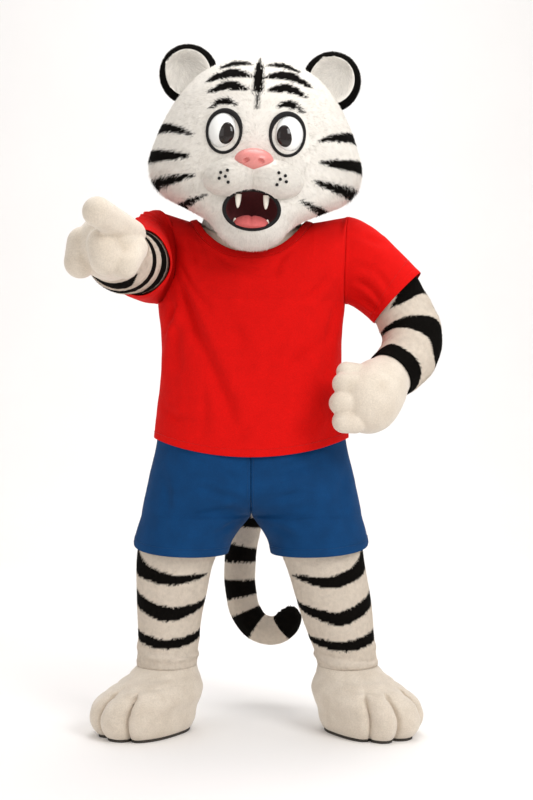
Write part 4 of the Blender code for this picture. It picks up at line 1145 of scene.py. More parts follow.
# Places here are round the sleeve, in tenths of its turn in radians, and along it from the armhole
RIGHT_SLEEVE_CREASES = (
    Crease(((0.10, 0.020), (0.20, 0.026), (0.32, 0.022), (0.44, 0.030)), 0.007, -0.0040),
    Crease(((0.08, 0.040), (0.19, 0.047), (0.30, 0.050), (0.40, 0.060)), 0.007, -0.0045),
    Crease(((0.14, 0.066), (0.24, 0.070), (0.36, 0.082)), 0.007, -0.0040),
    Crease(((0.20, 0.092), (0.30, 0.097), (0.42, 0.112)), 0.008, -0.0035),
    Crease(((0.36, 0.045), (0.46, 0.070), (0.55, 0.075)), 0.009, -0.0045),
    Crease(((0.34, 0.120), (0.44, 0.138), (0.54, 0.132)), 0.009, -0.0035),
    Crease(((0.02, 0.060), (0.06, 0.100), (0.05, 0.150)), 0.010, -0.0035),
)
LEFT_SLEEVE_CREASES = (
    Crease(((0.060, 0.020), (0.075, 0.080), (0.070, 0.150)), 0.008, -0.0050),
    Crease(((0.100, 0.015), (0.115, 0.070), (0.105, 0.130)), 0.008, -0.0045),
    Crease(((0.140, 0.030), (0.160, 0.090), (0.150, 0.165)), 0.010, -0.0030),
    Crease(((0.210, 0.020), (0.230, 0.080), (0.260, 0.130)), 0.012, -0.0030),
    Crease(((0.330, 0.050), (0.350, 0.110), (0.330, 0.170)), 0.014, -0.0025),
    Crease(((0.500, 0.020), (0.480, 0.090), (0.500, 0.150)), 0.012, -0.0040),
    Crease(((0.560, 0.030), (0.550, 0.090), (0.570, 0.140)), 0.010, -0.0045),
)


@dataclass
class TShirt:
    """A set-in sleeve T-shirt: front, back, two sleeves and the rib, with its stitching."""

    columns: int = 112
    regular_rows: int = 68
    turns: int = 44
    hem_seam: float = 0.020
    sleeve_turns: int = 104
    sleeve_rows: int = 44
    rib_in: float = 0.019
    rib_lean: float = 0.008
    rib_rise: float = 0.015
    rib_side_rise: float = 0.003
    seam_swell: float = 0.0012

    def build(self) -> None:
        """Builds and dresses the shirt's pieces."""
        for face, creases in ((Face.FRONT, SHIRT_FRONT_CREASES), (Face.BACK, SHIRT_BACK_CREASES)):
            self.build_panel(face, creases)
        for side, creases in ((Side.RIGHT, RIGHT_SLEEVE_CREASES), (Side.LEFT, LEFT_SLEEVE_CREASES)):
            self.build_sleeve(side, creases)
        self.build_rib()

    def build_panel(self, face: Face, creases: Sequence[Crease]) -> None:
        """One panel, with its creases, its hem and the hem's stitching."""
        length = SHIRT.underarm - SHIRT.hem[face]
        below = hem_steps(length, self.regular_rows, self.hem_seam, True)
        flat = SHIRT.panel(face, self.columns, below, self.turns)
        x, height = flat.points[..., 0], flat.points[..., 2]
        share = SHIRT.shares(self.columns)[None]
        side_fade = 0.25 + 0.75 * rise(1 - np.abs(share), 0, 0.04)
        top_fade = rise(height[-1][None] - height, 0, 0.030)
        relief = 1.7 * creased(creases, x, height) * side_fade * top_fade
        pucker = np.sin(150 * x + 40 * height) * np.sin(60 * height - 110 * x + 2 * np.sin(30 * x))
        relief += 0.0005 * pucker * top_fade
        distance = flat.along()
        sway = np.sin(16 * x + 0.8) + 0.6 * np.sin(37 * x + 2.0)
        relief += 0.0030 * sway * np.exp(-distance / 0.070) * side_fade
        relief += hem_relief(distance, self.hem_seam)
        swell = np.exp(-((flat.across() / 0.004) ** 2))
        swell += np.exp(-(((flat.across()[:, -1:] - flat.across()) / 0.004) ** 2))
        relief += self.seam_swell * swell * (distance > self.hem_seam)
        cloth = flat.raised(relief)
        cloth.points = place(cloth.points)
        item = cloth.build(f"shirt_{face.word}_jersey", WARDROBE["red_cotton_jersey"])
        thicken(item, SHIRT_WALL)
        row = int(np.argmin(np.abs(distance[:, distance.shape[1] // 2] - self.hem_seam)))
        thread = stitches(f"shirt_{face.word}_hem_stitches", cloth.points[row],
                          cloth.normals()[row], WARDROBE["red_polyester_thread"])
        dress(thread, "shirt_jersey")
        dress(item, "shirt_jersey", f"shirt_{face.word}")
        flat.cut()

    def build_sleeve(self, side: Side, creases: Sequence[Crease]) -> None:
        """One sleeve, eased into its armhole, with its hem."""
        turn = np.linspace(0, 2 * math.pi, self.sleeve_turns + 1)
        length = 0.17
        along = hem_steps(length, self.sleeve_rows, 0.018, False)
        along = np.unique(np.round([*along, 0.012, 0.025, 0.04], 6))
        flat = Sheet(shoulder_grid(SHIRT, SLEEVE_HEMS[side], side, turn, along, 0.36), closed=True)
        distance = flat.along()
        left = distance[-1:] - distance
        relief = creased(creases, np.broadcast_to(turn / 10, distance.shape), distance)
        relief *= 1.6 * rise(distance, 0.004, 0.020) * rise(left, 0.004, 0.030)
        snug = 0.0075 if side is Side.RIGHT else 0.0015
        relief -= snug * np.exp(-((left / 0.026) ** 2))
        relief += self.seam_swell * np.exp(-(((distance - 0.004) / 0.003) ** 2))
        sway = 0.0016 * np.sin(5 * turn + 1) * np.exp(-left / 0.030)
        relief += hem_relief(left, 0.018) + sway
        cloth = flat.raised(relief)
        cloth.points = place(cloth.points)
        item = cloth.build(f"shirt_sleeve_{side.word}_jersey", WARDROBE["red_cotton_jersey"])
        thicken(item, SHIRT_WALL)
        row = int(np.argmin(np.abs(left[:, 0] - 0.018)))
        thread = stitches(f"shirt_sleeve_{side.word}_stitches", cloth.points[row],
                          cloth.normals()[row], WARDROBE["red_polyester_thread"])
        dress(thread, "shirt_jersey")
        dress(item, "shirt_jersey", f"shirt_sleeve_{side.word}")
        flat.cut()

    def build_rib(self) -> None:
        """The rib inside the neckline, slightly padded by its doubled knit."""
        outer, inner = self.neckline(60)
        away = inner - outer
        start = outer + unit(away) * SEAM_GAP * 1.3
        share = np.linspace(0, 1, 11)[:, None, None]
        flat = Sheet(start + (inner - start) * share, closed=True)
        relief = 0.0011 * np.sin(math.pi * share[..., 0]) ** 0.5 * np.ones(flat.points.shape[:2])
        cloth = flat.raised(relief)
        cloth.points = place(cloth.points)
        item = cloth.build("shirt_neck_rib_knit", WARDROBE["red_cotton_rib"])
        thicken(item, 0.0018)
        dress(item, "shirt_jersey", "shirt_neck_rib")
        flat.cut()

    def neckline(self, count: int) -> tuple[Array, Array]:
        """The rib's outer and inner edges, from right to left and round the back."""
        turns = np.linspace(-math.pi / 2, math.pi / 2, count)
        share = SHIRT.neck_share * np.sin(turns)
        edges = []
        for face, order in ((Face.FRONT, 1), (Face.BACK, -1)):
            edge = SHIRT.points(share, np.full(count, math.pi), SHIRT.neckline(share, face), face)
            edge[[0, -1], 1] = 0
            across, ahead = np.sin(turns), np.cos(turns)
            step = np.stack([-self.rib_in * across, -face.value * self.rib_lean * ahead,
                             self.rib_side_rise + self.rib_rise * ahead], 1)
            edges.append((edge[::order][:-1], (edge + step)[::order][:-1]))
        outer = np.concatenate([edges[0][0], edges[1][0], edges[0][0][:1]])
        inner = np.concatenate([edges[0][1], edges[1][1], edges[0][1][:1]])
        return outer, inner


# The shorts

SHORTS_CREASES = (
    Crease(((-0.160, 0.693), (-0.090, 0.672), (-0.010, 0.643)), 0.010, -0.0060),
    Crease(((-0.155, 0.610), (-0.085, 0.622), (-0.018, 0.626)), 0.009, -0.0050),
    Crease(((-0.105, 0.552), (-0.060, 0.575), (-0.018, 0.598)), 0.009, -0.0050),
    Crease(((-0.100, 0.742), (-0.050, 0.715), (-0.005, 0.675)), 0.010, -0.0035),
    Crease(((0.195, 0.746), (0.120, 0.726), (0.035, 0.693)), 0.011, -0.0060),
    Crease(((0.185, 0.668), (0.105, 0.664), (0.022, 0.642)), 0.010, -0.0060),
    Crease(((0.042, 0.603), (0.100, 0.600), (0.162, 0.584)), 0.009, -0.0045),
    Crease(((0.052, 0.580), (0.095, 0.562), (0.142, 0.530)), 0.009, -0.0045),
    Crease(((-0.245, 0.750), (-0.228, 0.650), (-0.245, 0.545)), 0.013, -0.0045),
    Crease(((0.262, 0.745), (0.245, 0.645), (0.270, 0.540)), 0.013, -0.0045),
    Crease(((-0.185, 0.800), (-0.125, 0.745), (-0.060, 0.712)), 0.012, -0.0030),
    Crease(((0.200, 0.800), (0.130, 0.775), (0.060, 0.730)), 0.012, -0.0030),
    Crease(((-0.200, 0.560), (-0.170, 0.530), (-0.150, 0.500)), 0.012, -0.0030),
    Crease(((0.215, 0.575), (0.190, 0.540), (0.185, 0.500)), 0.012, -0.0030),
)


@dataclass
class Shorts:
    """Shorts of four panels, open at both legs, with an elastic band at the waist."""

    top: float = 0.886
    hem: float = 0.492
    hem_rise: float = 0.030
    hem_seam: float = 0.022
    columns: int = 52
    rows: int = 72
    band_top: float = 0.926
    band_out: float = 0.0037

    def build(self, tail_hole: Callable[[], bpy.types.Object]) -> None:
        """Builds and dresses the shorts' pieces."""
        threads, panels = [], []
        for side in Side:
            for face in Face:
                item, flat, thread = self.build_panel(side, face)
                if face is Face.BACK:
                    cut_with(item, tail_hole())
                threads.append(thread)
                panels.append((item, flat, f"shorts_{face.word}_{side.word}"))
        thread = joined("shorts_stitches", threads)
        dress(thread, "shorts_twill")
        for number, (item, flat, name) in enumerate(panels):
            dress(item, "shorts_twill", name)
            flat.cut()
        self.build_band()

    def build_panel(self, side: Side, face: Face) -> tuple[bpy.types.Object, Sheet, bpy.types.Object]:
        """One panel, from the band to the leg's hem, with its seams pressed in."""
        column = close_to_ends(self.columns, (0.004, 0.010, 0.018, 0.028))[None]
        length = self.top - self.hem
        share = hem_steps(length, self.rows, self.hem_seam, False)[:, None]
        hem = self.hem + self.hem_rise * column**3
        height = self.top - (self.top - hem) * share
        around = column if face is Face.FRONT else 2 - column
        flat = Sheet(SHORTS_LOWER.points(side, around, height))
        x = flat.points[..., 0]
        creases = SHORTS_CREASES
        seen = x if face is Face.FRONT else -0.93 * x
        soft = rise(column, 0, 0.05) * rise(1 - column, 0, 0.05) * (1 - share**8)
        relief = creased(creases, seen, height + (0 if face is Face.FRONT else 0.012)) * soft
        relief += 0.0006 * soft * np.sin(120 * x + 70 * height) * np.sin(90 * height - 60 * x)
        across, left = flat.across(), flat.along()[-1:] - flat.along()
        for edge in (across, across[:, -1:] - across):
            relief += -0.0016 * np.exp(-((edge / 0.0022) ** 2))
            relief += 0.0007 * np.exp(-(((edge - 0.007) / 0.004) ** 2))
        relief += hem_relief(left, self.hem_seam)
        relief += 0.0022 * soft * np.sin(9 * math.pi * column + 1) * np.exp(-left / 0.050)
        cloth = flat.raised(relief)
        cloth.points = place(cloth.points)
        item = cloth.build(f"shorts_{face.word}_{side.word}_twill", WARDROBE["blue_cotton_twill"])
        thicken(item, SHORTS_WALL)
        row = int(np.argmin(np.abs(left[:, left.shape[1] // 2] - self.hem_seam)))
        beside = int(np.argmin(np.abs(across[40] - 0.007)))
        normals = cloth.normals()
        finish = WARDROBE["blue_polyester_thread"]
        lines = [stitches("hem_stitches", cloth.points[row], normals[row], finish)]
        lines.append(stitches("seam_stitches", cloth.points[:, beside], normals[:, beside], finish))
        return item, flat, joined("panel_stitches", lines)

    def build_band(self) -> None:
        """The waistband, gathered by the elastic inside it."""
        around = np.linspace(0, 4, 241)[None]
        height = np.linspace(self.top + SEAM_GAP, self.band_top, 20)[:, None]
        left = SUIT_LOWER.points(Side.LEFT, np.minimum(around, 2), height)
        right = SUIT_LOWER.points(Side.RIGHT, np.clip(4 - around, 0, 2), height)
        grid = np.where((around <= 2)[..., None], left, right)
        out = unit(grid * np.array([1, 1, 0]))
        grid = grid + out * self.band_out
        grid[:, -1] = grid[:, 0]
        flat = Sheet(grid, closed=True)
        gathers = 0.0007 * np.sin(around * 2 * math.pi * 16) * np.ones(height.shape)
        channel = -0.0008 * np.exp(-(((height - self.top - 0.012) / 0.002) ** 2))
        cloth = flat.raised(gathers + channel + 0.0007)
        cloth.points = place(cloth.points)
        item = cloth.build("shorts_waistband_twill", WARDROBE["blue_cotton_twill"])
        thicken(item, 0.003)
        dress(item, "shorts_twill", "shorts_waistband")
        flat.cut()


# The body suit

LEG_STRIPES = {
    Side.RIGHT: (
        Stripe(((18, .4395, .4405), (45, .428, .444), (90, .416, .446), (135, .430, .475),
                (180, .444, .535))),
        Stripe(((0, .357, .377), (45, .332, .362), (90, .315, .356), (135, .335, .380),
                (180, .360, .405))),
        Stripe(((0, .262, .284), (45, .246, .273), (90, .239, .266), (135, .247, .276),
                (180, .262, .287))),
    ),
    Side.LEFT: (
        Stripe(((20, .4355, .4365), (45, .424, .440), (90, .408, .4405), (135, .430, .470),
                (180, .458, .535))),
        Stripe(((0, .349, .368), (45, .324, .354), (90, .304, .3425), (135, .328, .370),
                (180, .360, .399))),
        Stripe(((0, .254, .268), (45, .240, .263), (90, .2335, .261), (135, .243, .274),
                (180, .256, .287))),
    ),
}
ARM_STRIPES = {
    Side.RIGHT: (
        Stripe(((0, .22, .46), (90, .12, .54), (180, .20, .50))),
        Stripe(((0, 1.16, 1.46), (90, 1.02, 1.50), (180, 1.08, 1.46))),
        Stripe(((0, 1.72, 2.48), (25, 1.84, 2.50), (52, 2.30, 2.46))),
    ),
    Side.LEFT: (
        Stripe(((70, .50, .55), (96, .20, .62), (126, -.30, .56), (174, -.50, .60),
                (240, -.30, .62), (300, .30, .58), (330, .50, .55)), True),
        Stripe(((0, 1.30, 1.36), (9, 1.28, 1.44), (35, 1.28, 1.85), (61, 1.32, 2.16),
                (96, 1.40, 2.33), (130, 1.55, 2.44), (159, 1.67, 2.53), (190, 1.80, 2.78),
                (230, 2.00, 2.85), (275, 2.25, 2.65), (300, 2.40, 2.45)), True),
        Stripe(((72, 3.92, 4.05), (90, 3.68, 4.20), (111, 3.46, 4.20), (147, 3.50, 4.20),
                (204, 3.46, 4.20), (249, 3.60, 4.20), (290, 3.90, 4.10)), True),
    ),
}
TAIL_STRIPES = tuple(
    Stripe(((0, low, high), (180, low + 0.05, high - 0.05)))
    for low, high in ((0.7, 1.1), (1.7, 2.1), (2.65, 3.1), (3.6, 4.1), (4.55, 5.2), (5.75, 6.7),
                      (8.2, 11.1))
)


def brushed(sag: float = 0.35) -> Callable[[Array, Array, Array], Array]:
    """Pile brushed along a limb towards its end, and hanging a little."""
    return lambda roots, out, down: down + np.array([0, 0, -sag])


# Each fold's height, half width, slant round the leg and swell, where a leg rests on its boot
LEG_FOLDS = ((0.200, 0.0080, 0.012, 0.0030), (0.222, 0.0090, -0.015, 0.0020),
             (0.246, 0.0110, 0.018, 0.0016))


@dataclass
class BodySuit:
    """The fur suit: front, back, neck, two sleeves to the wrists and two legs to the boots."""

    leg_turns: int = 88
    arm_turns: int = 72
    leg_hem: float = 0.180
    neck_top: float = 1.500
    neck_top_radius: float = 0.112
    neck_top_y: float = -0.028

    def build(self) -> None:
        """Builds and dresses the suit's pieces."""
        for face in Face:
            below = np.linspace(0, 1, 12)
            flat = SUIT.panel(face, 44, below, 20)
            cloth = Sheet(place(flat.points))
            colours = np.broadcast_to(CREAM_FUR, cloth.points.shape)
            item = cloth.build(f"suit_{face.word}_fur", WARDROBE["acrylic_short_pile"], colours)
            thicken(item, SUIT_WALL)
            dress(item, "fur_cream", f"suit_{face.word}")
            flat.cut()
        self.build_neck()
        for side in Side:
            self.build_sleeve(side)
            self.build_leg(side)

    def build_neck(self) -> None:
        """The neck's tube, from the neckline up into the head, with its pile."""
        turns = np.linspace(-math.pi / 2, math.pi / 2, 40)
        share = SUIT.neck_share * np.sin(turns)
        halves = []
        for face, order in ((Face.FRONT, 1), (Face.BACK, -1)):
            edge = SUIT.points(share, np.full(40, math.pi), SUIT.neckline(share, face), face)
            edge[[0, -1], 1] = 0
            halves.append(edge[::order][:-1])
        ring = np.concatenate([*halves, halves[0][:1]])
        low = ring + np.array([0, 0, SEAM_GAP * 3])
        centre = np.array([0, self.neck_top_y, 0])
        out = unit((ring - centre) * np.array([1, 1, 0]))
        high = centre + out * self.neck_top_radius + np.array([0, 0, self.neck_top])
        share = np.linspace(0, 1, 24)[:, None, None]
        flat = Sheet(low + (high - low) * share, closed=True)
        cloth = Sheet(place(flat.points), closed=True)
        colours = np.broadcast_to(WHITE_FUR, cloth.points.shape)
        item = cloth.build("suit_neck_fur", WARDROBE["acrylic_short_pile"], colours)
        thicken(item, SUIT_WALL)
        pile = PileField(
            "suit_neck_pile", cloth, 9000, 0.010, 0.0015, 0.35, 11,
            lambda roots, away, down: -down + np.array([0, 0, -2.0]),
            lambda row, column: np.broadcast_to(WHITE_FUR, (len(row), 3)),
            weight=lambda row, column: 1.0 * (row < 0.75),
        ).build(WARDROBE["acrylic_short_pile"])
        dress(pile, "fur_white")
        dress(item, "fur_white", "suit_neck")
        flat.cut()

    def build_sleeve(self, side: Side) -> None:
        """One sleeve: its shoulder inside the shirt's, then the arm to the wrist."""
        turn = np.linspace(0, 2 * math.pi, self.arm_turns + 1)
        table = ARM_STATIONS[side]
        shoulder = shoulder_grid(SUIT, ARM_STARTS[side], side, turn, np.linspace(0, 1, 16)[:-1], 0.42)
        steps = np.linspace(0, table.last, 90)
        flat = Sheet(np.concatenate([shoulder, tube_grid(table, side, steps, turn)]), closed=True)
        rows = len(flat.points)
        station = np.concatenate([np.linspace(-1, 0, 16)[:-1], steps])[:, None]
        soft = 0.0016 * np.sin(3 * turn + 5 * station) * np.sin(2.2 * station + 1)
        elbow = station - (0.5 if side is Side.RIGHT else 2.1)
        soft += -0.003 * np.exp(-((elbow / 0.20) ** 2)) * (1 + np.cos(turn - 0.3)) / 2
        soft *= rise(station, 0.0, 0.5) * rise(table.last - station, 0, 0.3)
        cloth = flat.raised(soft * np.ones(flat.points.shape[:2]))
        cloth.points = place(cloth.points)
        stripes = ARM_STRIPES[side]
        colours = striped(stripes, turn[None], station, ragged=0.010)
        item = cloth.build(f"suit_sleeve_{side.word}_fur", WARDROBE["acrylic_short_pile"], colours)
        thicken(item, SUIT_WALL)

        def shade(row: Array, column: Array) -> Array:
            at = np.interp(row * (rows - 1), np.arange(rows), station[:, 0])
            return striped(stripes, column * 2 * math.pi, at, ragged=0.008)

        first = 14 / (rows - 1)
        pile = PileField(
            f"suit_sleeve_{side.word}_pile", cloth, 20000, 0.0064, 0.0014, 0.34, 20 + side.value,
            brushed(), shade, weight=lambda row, column: 1.0 * (row > first),
        ).build(WARDROBE["acrylic_short_pile"])
        dress(pile, "fur_cream")
        dress(item, "fur_cream", f"suit_sleeve_{side.word}")
        flat.cut()

    def build_leg(self, side: Side) -> None:
        """One leg, full at the calf and rumpled where it rests on the boot."""
        around = np.linspace(0, 2, self.leg_turns + 1)
        top = np.linspace(0.930 - 2 * SEAM_GAP, 0.618, 30)
        height = np.concatenate([top[:-1], np.linspace(0.618, self.leg_hem, 92)])
        flat = Sheet(SUIT_LOWER.points(side, around[None], height[:, None]))
        joined_from = len(top) - 1
        flat.points[joined_from:, [0, -1], 1] = 0
        turn, h = around[None] * math.pi, height[:, None]
        ripple = np.sin(2 * turn + 9 * h) * np.sin(23 * h + 2 * np.cos(turn))
        relief = 0.0022 * ripple * rise(0.60 - h, 0, 0.1)
        for at, size, lean, swell in LEG_FOLDS:
            relief += swell * np.exp(-(((h - at - lean * np.cos(turn + side.value)) / size) ** 2))
        relief += -0.002 * np.exp(-(((h - 0.209 - 0.012 * np.cos(turn)) / 0.005) ** 2))
        relief *= 1 - rise(h, 0.55, 0.62)
        cloth = flat.raised(relief)
        cloth.points[joined_from:, -1] = cloth.points[joined_from:, 0]
        cloth.points = place(cloth.points)
        stripes = LEG_STRIPES[side]
        colours = striped(stripes, turn, h, ragged=0.0008)
        item = cloth.build(f"suit_leg_{side.word}_fur", WARDROBE["acrylic_short_pile"], colours)
        weld(item, 0.00008)
        thicken(item, SUIT_WALL)
        rows = len(height)

        def shade(row: Array, column: Array) -> Array:
            at = np.interp(row * (rows - 1), np.arange(rows), height)
            return striped(stripes, column * 2 * math.pi, at, ragged=0.0010)

        first = float(np.argmax(height < 0.565)) / rows
        pile = PileField(
            f"suit_leg_{side.word}_pile", cloth, 34000, 0.0064, 0.0014, 0.34, 30 + side.value,
            brushed(), shade, weight=lambda row, column: 1.0 * (row > first),
        ).build(WARDROBE["acrylic_short_pile"])
        dress(pile, "fur_cream")
        dress(item, "fur_cream", f"suit_leg_{side.word}")
        flat.cut()


def weld(item: bpy.types.Object, distance: float) -> None:
    """Joins an object's points that lie together."""
    shape = bmesh.new()
    shape.from_mesh(item.data)
    bmesh.ops.remove_doubles(shape, verts=shape.verts, dist=distance)
    shape.to_mesh(item.data)
    shape.free()


@dataclass
class Tail:
    """The stuffed tail, sewn to the suit's seat through a hole in the shorts."""

    steps: int = 190
    turns: int = 60
    hole_clearance: float = 0.0028

    def seat_at(self, x: Array, height: Array) -> Array:
        """How far back the suit's seat is at places across it."""
        around = np.linspace(1, 2, 400)
        line = SUIT_LOWER.points(Side.LEFT, around[None], np.asarray(height)[:, None])
        return np.array([np.interp(abs(a), row[::-1, 0], row[::-1, 1]) for a, row in zip(x, line)])

    def build(self) -> None:
        """Builds and dresses the tail and its pile."""
        turn = np.linspace(0, 2 * math.pi, self.turns + 1)
        step = np.linspace(0, TAIL.last, self.steps)
        grid = tube_grid(TAIL, Side.LEFT, step, turn)
        grid[0, :, 1] = self.seat_at(grid[0, :, 0], grid[0, :, 2]) + SEAM_GAP * 2
        sheet = Sheet(grid, closed=True, start_cap=True, end_cap=True)
        lumps = 0.0012 * np.sin(3 * turn[None] + 2 * step[:, None]) * np.sin(4.1 * step[:, None])
        lumps = lumps * rise(step[:, None], 0.6, 2.0) * rise(TAIL.last - step[:, None], 0, 1)
        cloth = sheet.raised(lumps)
        cloth.points = place(cloth.points)
        colours = striped(TAIL_STRIPES, turn[None], step[:, None], ragged=0.015)
        item = cloth.build("tail_fur", WARDROBE["acrylic_short_pile"], colours)

        def shade(row: Array, column: Array) -> Array:
            return striped(TAIL_STRIPES, column * 2 * math.pi, row * TAIL.last, ragged=0.012)

        pile = PileField(
            "tail_pile", cloth, 22000, 0.0066, 0.0014, 0.36, 41, brushed(0.0), shade,
            weight=lambda row, column: 1.0 * (row > 0.6 / TAIL.last),
        ).build(WARDROBE["acrylic_short_pile"])
        dress(pile, "fur_cream")
        dress(item, "fur_cream", "tail")

    def hole(self) -> bpy.types.Object:
        """A cutter for the tail's hole in the shorts."""
        clear = self.hole_clearance
        table = Table("step x y z radius", [
            (0, 0.0, 0.085, 0.738, 0.0490 + clear),
            (1, 0.0, 0.150, 0.722, 0.0490 + clear),
            (2, 0.0, 0.215, 0.700, 0.0500 + clear),
            (3, 0.0, 0.250, 0.672, 0.0510 + clear),
        ])
        turn = np.linspace(0, 2 * math.pi, 49)
        grid = tube_grid(table, Side.RIGHT, np.linspace(0, 3, 12), turn)
        return Sheet(place(grid), closed=True, start_cap=True, end_cap=True).build("hole", None)


# Boots and gloves

SHAFT_BOTTOM, SHAFT_TOP, SHAFT_CLEARANCE = 0.180, 0.235, 0.0022
FOOT_BASE = 0.0063
# Each wrinkle's height, how far it drops towards the toes, and its depth
INSTEP_WRINKLES = ((0.150, 0.014, 0.0045), (0.166, 0.010, 0.0040), (0.134, 0.020, 0.0020))


@dataclass
class Boot:
    """A plush foot over foam, with toes pressed in by stitching, a shaft and a flat sole."""

    side: Side
    middle: tuple[float, float]
    turn: float
    grooves: tuple[float, ...]
    wall: float = 0.013
    heel_narrowing: float = 0.16
    sole_thick: float = 0.006

    def foot(self, angle: Array, height: Array) -> Array:
        """Points of the foot at angles from straight ahead, in degrees, before it is turned."""
        radians = np.radians(angle)
        cosine, sine = np.cos(radians), np.sin(radians)
        length = np.where(cosine > 0, BOOT.at("front", height), BOOT.at("back", height))
        x = BOOT.at("half_width", height) * np.sign(sine) * np.abs(sine) ** 0.9
        x = x * (1 - self.heel_narrowing * (1 - cosine) / 2)
        y = -length * np.sign(cosine) * np.abs(cosine) ** 0.82
        low = 1 - rise(height, 0.105, 0.158)
        scale = np.ones(np.broadcast(angle, height).shape)
        for groove in self.grooves:
            at = groove * (1 - 0.22 * (height / 0.13) ** 3)
            away = (angle + 180) % 360 - 180 - at
            sharp = 0.075 * np.exp(-((away / 1.9) ** 2)) + 0.085 * np.exp(-((away / 8.0) ** 2))
            scale = scale - low * sharp
        return np.stack([x * scale, y * scale, np.broadcast_to(height, x.shape)], -1)

    def shaft(self, angle: Array, height: Array,
              inside: float = SUIT_WALL + SHAFT_CLEARANCE) -> Array:
        """Points of the shaft, some way inside the suit's leg."""
        radians, leg = np.radians(angle + self.turn), SUIT_LEGS[self.side]
        x = (leg.at("half_width", height) - inside) * np.sin(radians)
        y = -(leg.at("depth", height) - inside) * np.cos(radians)
        middle = self.side.value * leg.at("middle", height)
        return np.stack([middle + x, y, np.broadcast_to(height, x.shape)], -1)

    def turned(self, points: Array) -> Array:
        """Points of the foot, turned out, and drifting from under the leg to the foot's middle."""
        c, s = math.cos(math.radians(self.turn)), math.sin(math.radians(self.turn))
        x, y, height = points[..., 0], points[..., 1], points[..., 2]
        share = rise(height, 0.050, 0.158)
        ankle = self.side.value * float(SUIT_LEGS[self.side].at("middle", SHAFT_BOTTOM))
        return np.stack([self.middle[0] + (ankle - self.middle[0]) * share + c * x - s * y,
                         self.middle[1] * (1 - share) + s * x + c * y, height], -1)

    def build(self) -> None:
        """Builds and dresses the boot and its sole."""
        toes = np.arange(-58, 58.1, 1.1)
        angle = np.concatenate([toes, np.linspace(58, 302, 72)[1:]])[None]
        low = np.concatenate([[FOOT_BASE, 0.0075, 0.0095, 0.0125], np.linspace(0.017, 0.157, 36)])
        foot = self.turned(self.foot(angle, low[:, None]))
        share = rise(np.linspace(0, 1, 10)[1:, None, None], -0.5, 1)
        under_leg = self.shaft(angle, np.array([[SHAFT_BOTTOM]]), 0) + np.array([0, 0, -0.0008])
        neck = foot[-1] + (under_leg - foot[-1]) * share
        shaft = self.shaft(angle, np.linspace(SHAFT_BOTTOM + 0.001, SHAFT_TOP, 8)[:, None])
        grid = np.concatenate([foot, neck, shaft])
        grid[:, -1] = grid[:, 0]
        sheet = Sheet(grid, closed=True, start_cap=True)
        height = grid[..., 2]
        radians = np.radians(angle)
        rumple = np.sin(3 * radians + 40 * height) * np.sin(95 * height + 2 * np.cos(2 * radians))
        soft = 0.0016 * rumple * rise(height, 0.05, 0.10) * (1 - rise(height, 0.155, 0.165))
        for at, lean, deep in INSTEP_WRINKLES:
            line = at - lean * np.cos(radians) + 0.004 * np.sin(2 * radians + 1)
            ahead = rise(np.cos(radians), -0.1, 0.8) * (height < 0.176)
            soft = soft - deep * ahead * np.exp(-(((height - line) / 0.0042) ** 2))
        edge = -0.0022 * np.exp(-(((height - FOOT_BASE) / 0.003) ** 2))
        cloth = sheet.raised(soft + edge)
        cloth.points = place(cloth.points)
        item = cloth.build(f"boot_{self.side.word}_plush", WARDROBE["cream_plush"])
        thicken(item, self.wall)
        dress(item, "plush_cream", f"boot_{self.side.word}")
        rows = []
        for z, scale in ((0, 0.980), (0.0010, 0.985), (0.0050, 0.985), (self.sole_thick, 0.982)):
            row = self.turned(self.foot(angle[0], np.full(angle.shape[1], FOOT_BASE)) * scale)
            row[:, 2] = z
            rows.append(row)
        grid = np.array(rows)
        grid[:, -1] = grid[:, 0]
        sole = Sheet(place(grid), closed=True, start_cap=True, end_cap=True)
        item = sole.build(f"sole_{self.side.word}_eva", WARDROBE["grey_eva_sole"])
        dress(item, "sole_rubber", f"sole_{self.side.word}")


@dataclass(frozen=True)
class Finger:
    """A stuffed finger, from its root to the middle of its round tip."""

    start: Corner
    end: Corner
    radius: float


